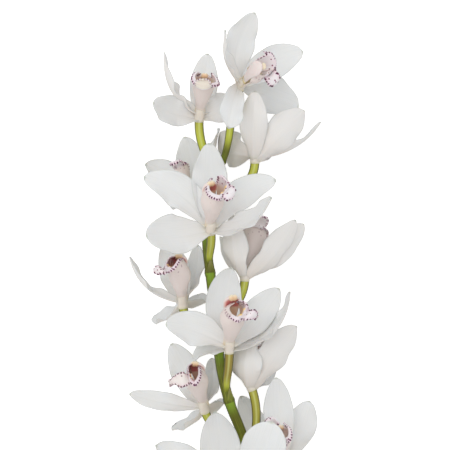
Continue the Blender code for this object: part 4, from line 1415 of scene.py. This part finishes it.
def stalk_look(tree, skin):
    height, bloomward, around = attributes(tree, "height bloomward round")
    below_node, brown, dry = attributes(tree, "below_node brown dry")
    veins = use_group(tree, vein_group, Across=times(around, GIRTH),
                      Along=times(height, VEIN_STRETCH), Spacing=0.8, Drift=2.0)
    flank = maths("ABSOLUTE", around)
    colour = paint(
        STALK_OLIVE,
        (ramp(skin["Tone"], *GREEN_TONE), STALK_GREEN),
        (ramp(below_node, *LIME_SPAN), STALK_LIME),
        (ramp(bloomward, *YELLOW_SPAN), PEDICEL_YELLOW),
        # Painted shadow of each bloom on the top end of its pedicel
        (maths("MAXIMUM", ramp(bloomward, *SHADOW_SPAN), brown), PEDICEL_SHADOW),
        (times(veins["Mask"], STREAK_SHARE), PEDICEL_YELLOW),
        # Painted highlight down the middle of each pedicel, then painted shade on the flanks
        (times(ramp(flank, *HIGHLIGHT_LINE), ramp(bloomward, *HIGHLIGHT_SPAN)), PEDICEL_HIGHLIGHT),
        (ramp(flank, *FLANK), STALK_SHADE),
        (dry, BRACT_DRY),
    )
    return colour, plus(veins["Height"], times(skin["Height"], 0.4))


stalk_green = make_material(
    "stalk_green", stalk_look, cell=0.0006, bump=(0.4, 0.0003), gloss=(0.36, 0.5), shine=0.3)
stalk_shapes = [stalk_shape()]
for name, bloom in BLOOMS.items():
    stalk_shapes.append(pedicel_shape(name, bloom))
    way_out = pedicel_curve(bloom, 0.5) - pedicel_curve(bloom, 0.0)
    stalk_shapes.append(bract_shape(bloom.stem.joint - BRACT_BELOW, way_out, BRACT_LENGTH,
                                    BRACT_HALF_WIDTH, bloom.stem.bract_lean))
stalk_shapes += [bract_shape(*sheath) for sheath in SHEATHS]
make_piece("green_stalk", join_shapes(stalk_shapes), stalk_green, "stalk")
print("triangles in all:", sum(triangles_made.values()))

# %% [markdown]
# The flowers were photographed against white in soft light. A broad lamp hangs over them, and a
# white sky, a touch brighter overhead, lights them almost evenly from all round, so that the
# shadows stay pale. The floor is a plain pale sheet. It glows for the camera alone, the way a lit
# backdrop burns out to white behind a flower.

# %% Floor and light
FLOOR_SIDE = 30.0
FLOOR_SHADE = 0.9
FLOOR_ROUGHNESS = 0.8
FLOOR_GLOW = 0.6
LAMP_PLACE = (-0.5, 0.7, 2.2)
LAMP_TILT = (-16, -12, 0)
LAMP_SIDE = 1.8
LAMP_POWER = 14.0
SKY_HIGH = 0.80
SKY_LOW = 0.76
SKY_RISE = 0.9
WHITE = (1, 1, 1, 1)

floor_mesh = bpy.data.meshes.new("pale_floor")
reach = FLOOR_SIDE / 2
corners = [(-reach, -reach, 0), (reach, -reach, 0), (reach, reach, 0), (-reach, reach, 0)]
floor_mesh.from_pydata(corners, [], [(0, 1, 2, 3)])
floor_material, floor_tree = new_material("pale_floor")
seen = add_node(floor_tree, "ShaderNodeLightPath").outputs["Is Camera Ray"]
set_shader(floor_tree, {
    "Base Color": (FLOOR_SHADE, FLOOR_SHADE, FLOOR_SHADE, 1),
    "Roughness": FLOOR_ROUGHNESS,
    "Emission Color": WHITE,
    "Emission Strength": times(seen, FLOOR_GLOW),
})
floor_mesh.materials.append(floor_material)
add_object("pale_floor", floor_mesh)

lamp_data = bpy.data.lights.new("soft_lamp", "AREA")
lamp_data.shape = "SQUARE"
lamp_data.size = LAMP_SIDE
lamp_data.energy = LAMP_POWER
lamp = add_object("soft_lamp", lamp_data)
lamp.location = LAMP_PLACE
lamp.rotation_euler = [math.radians(angle) for angle in LAMP_TILT]

world = bpy.data.worlds.new("studio")
world.use_nodes = True
sky = world.node_tree
way = add_node(sky, "ShaderNodeTexCoord").outputs["Generated"]
height = add_node(sky, "ShaderNodeSeparateXYZ", {0: way}).outputs["Z"]
put(sky.nodes["Background"].inputs["Color"], WHITE)
put(sky.nodes["Background"].inputs["Strength"], ramp(height, 0.0, SKY_RISE, SKY_LOW, SKY_HIGH))
bpy.context.scene.world = world

# %% End
print("scene built")
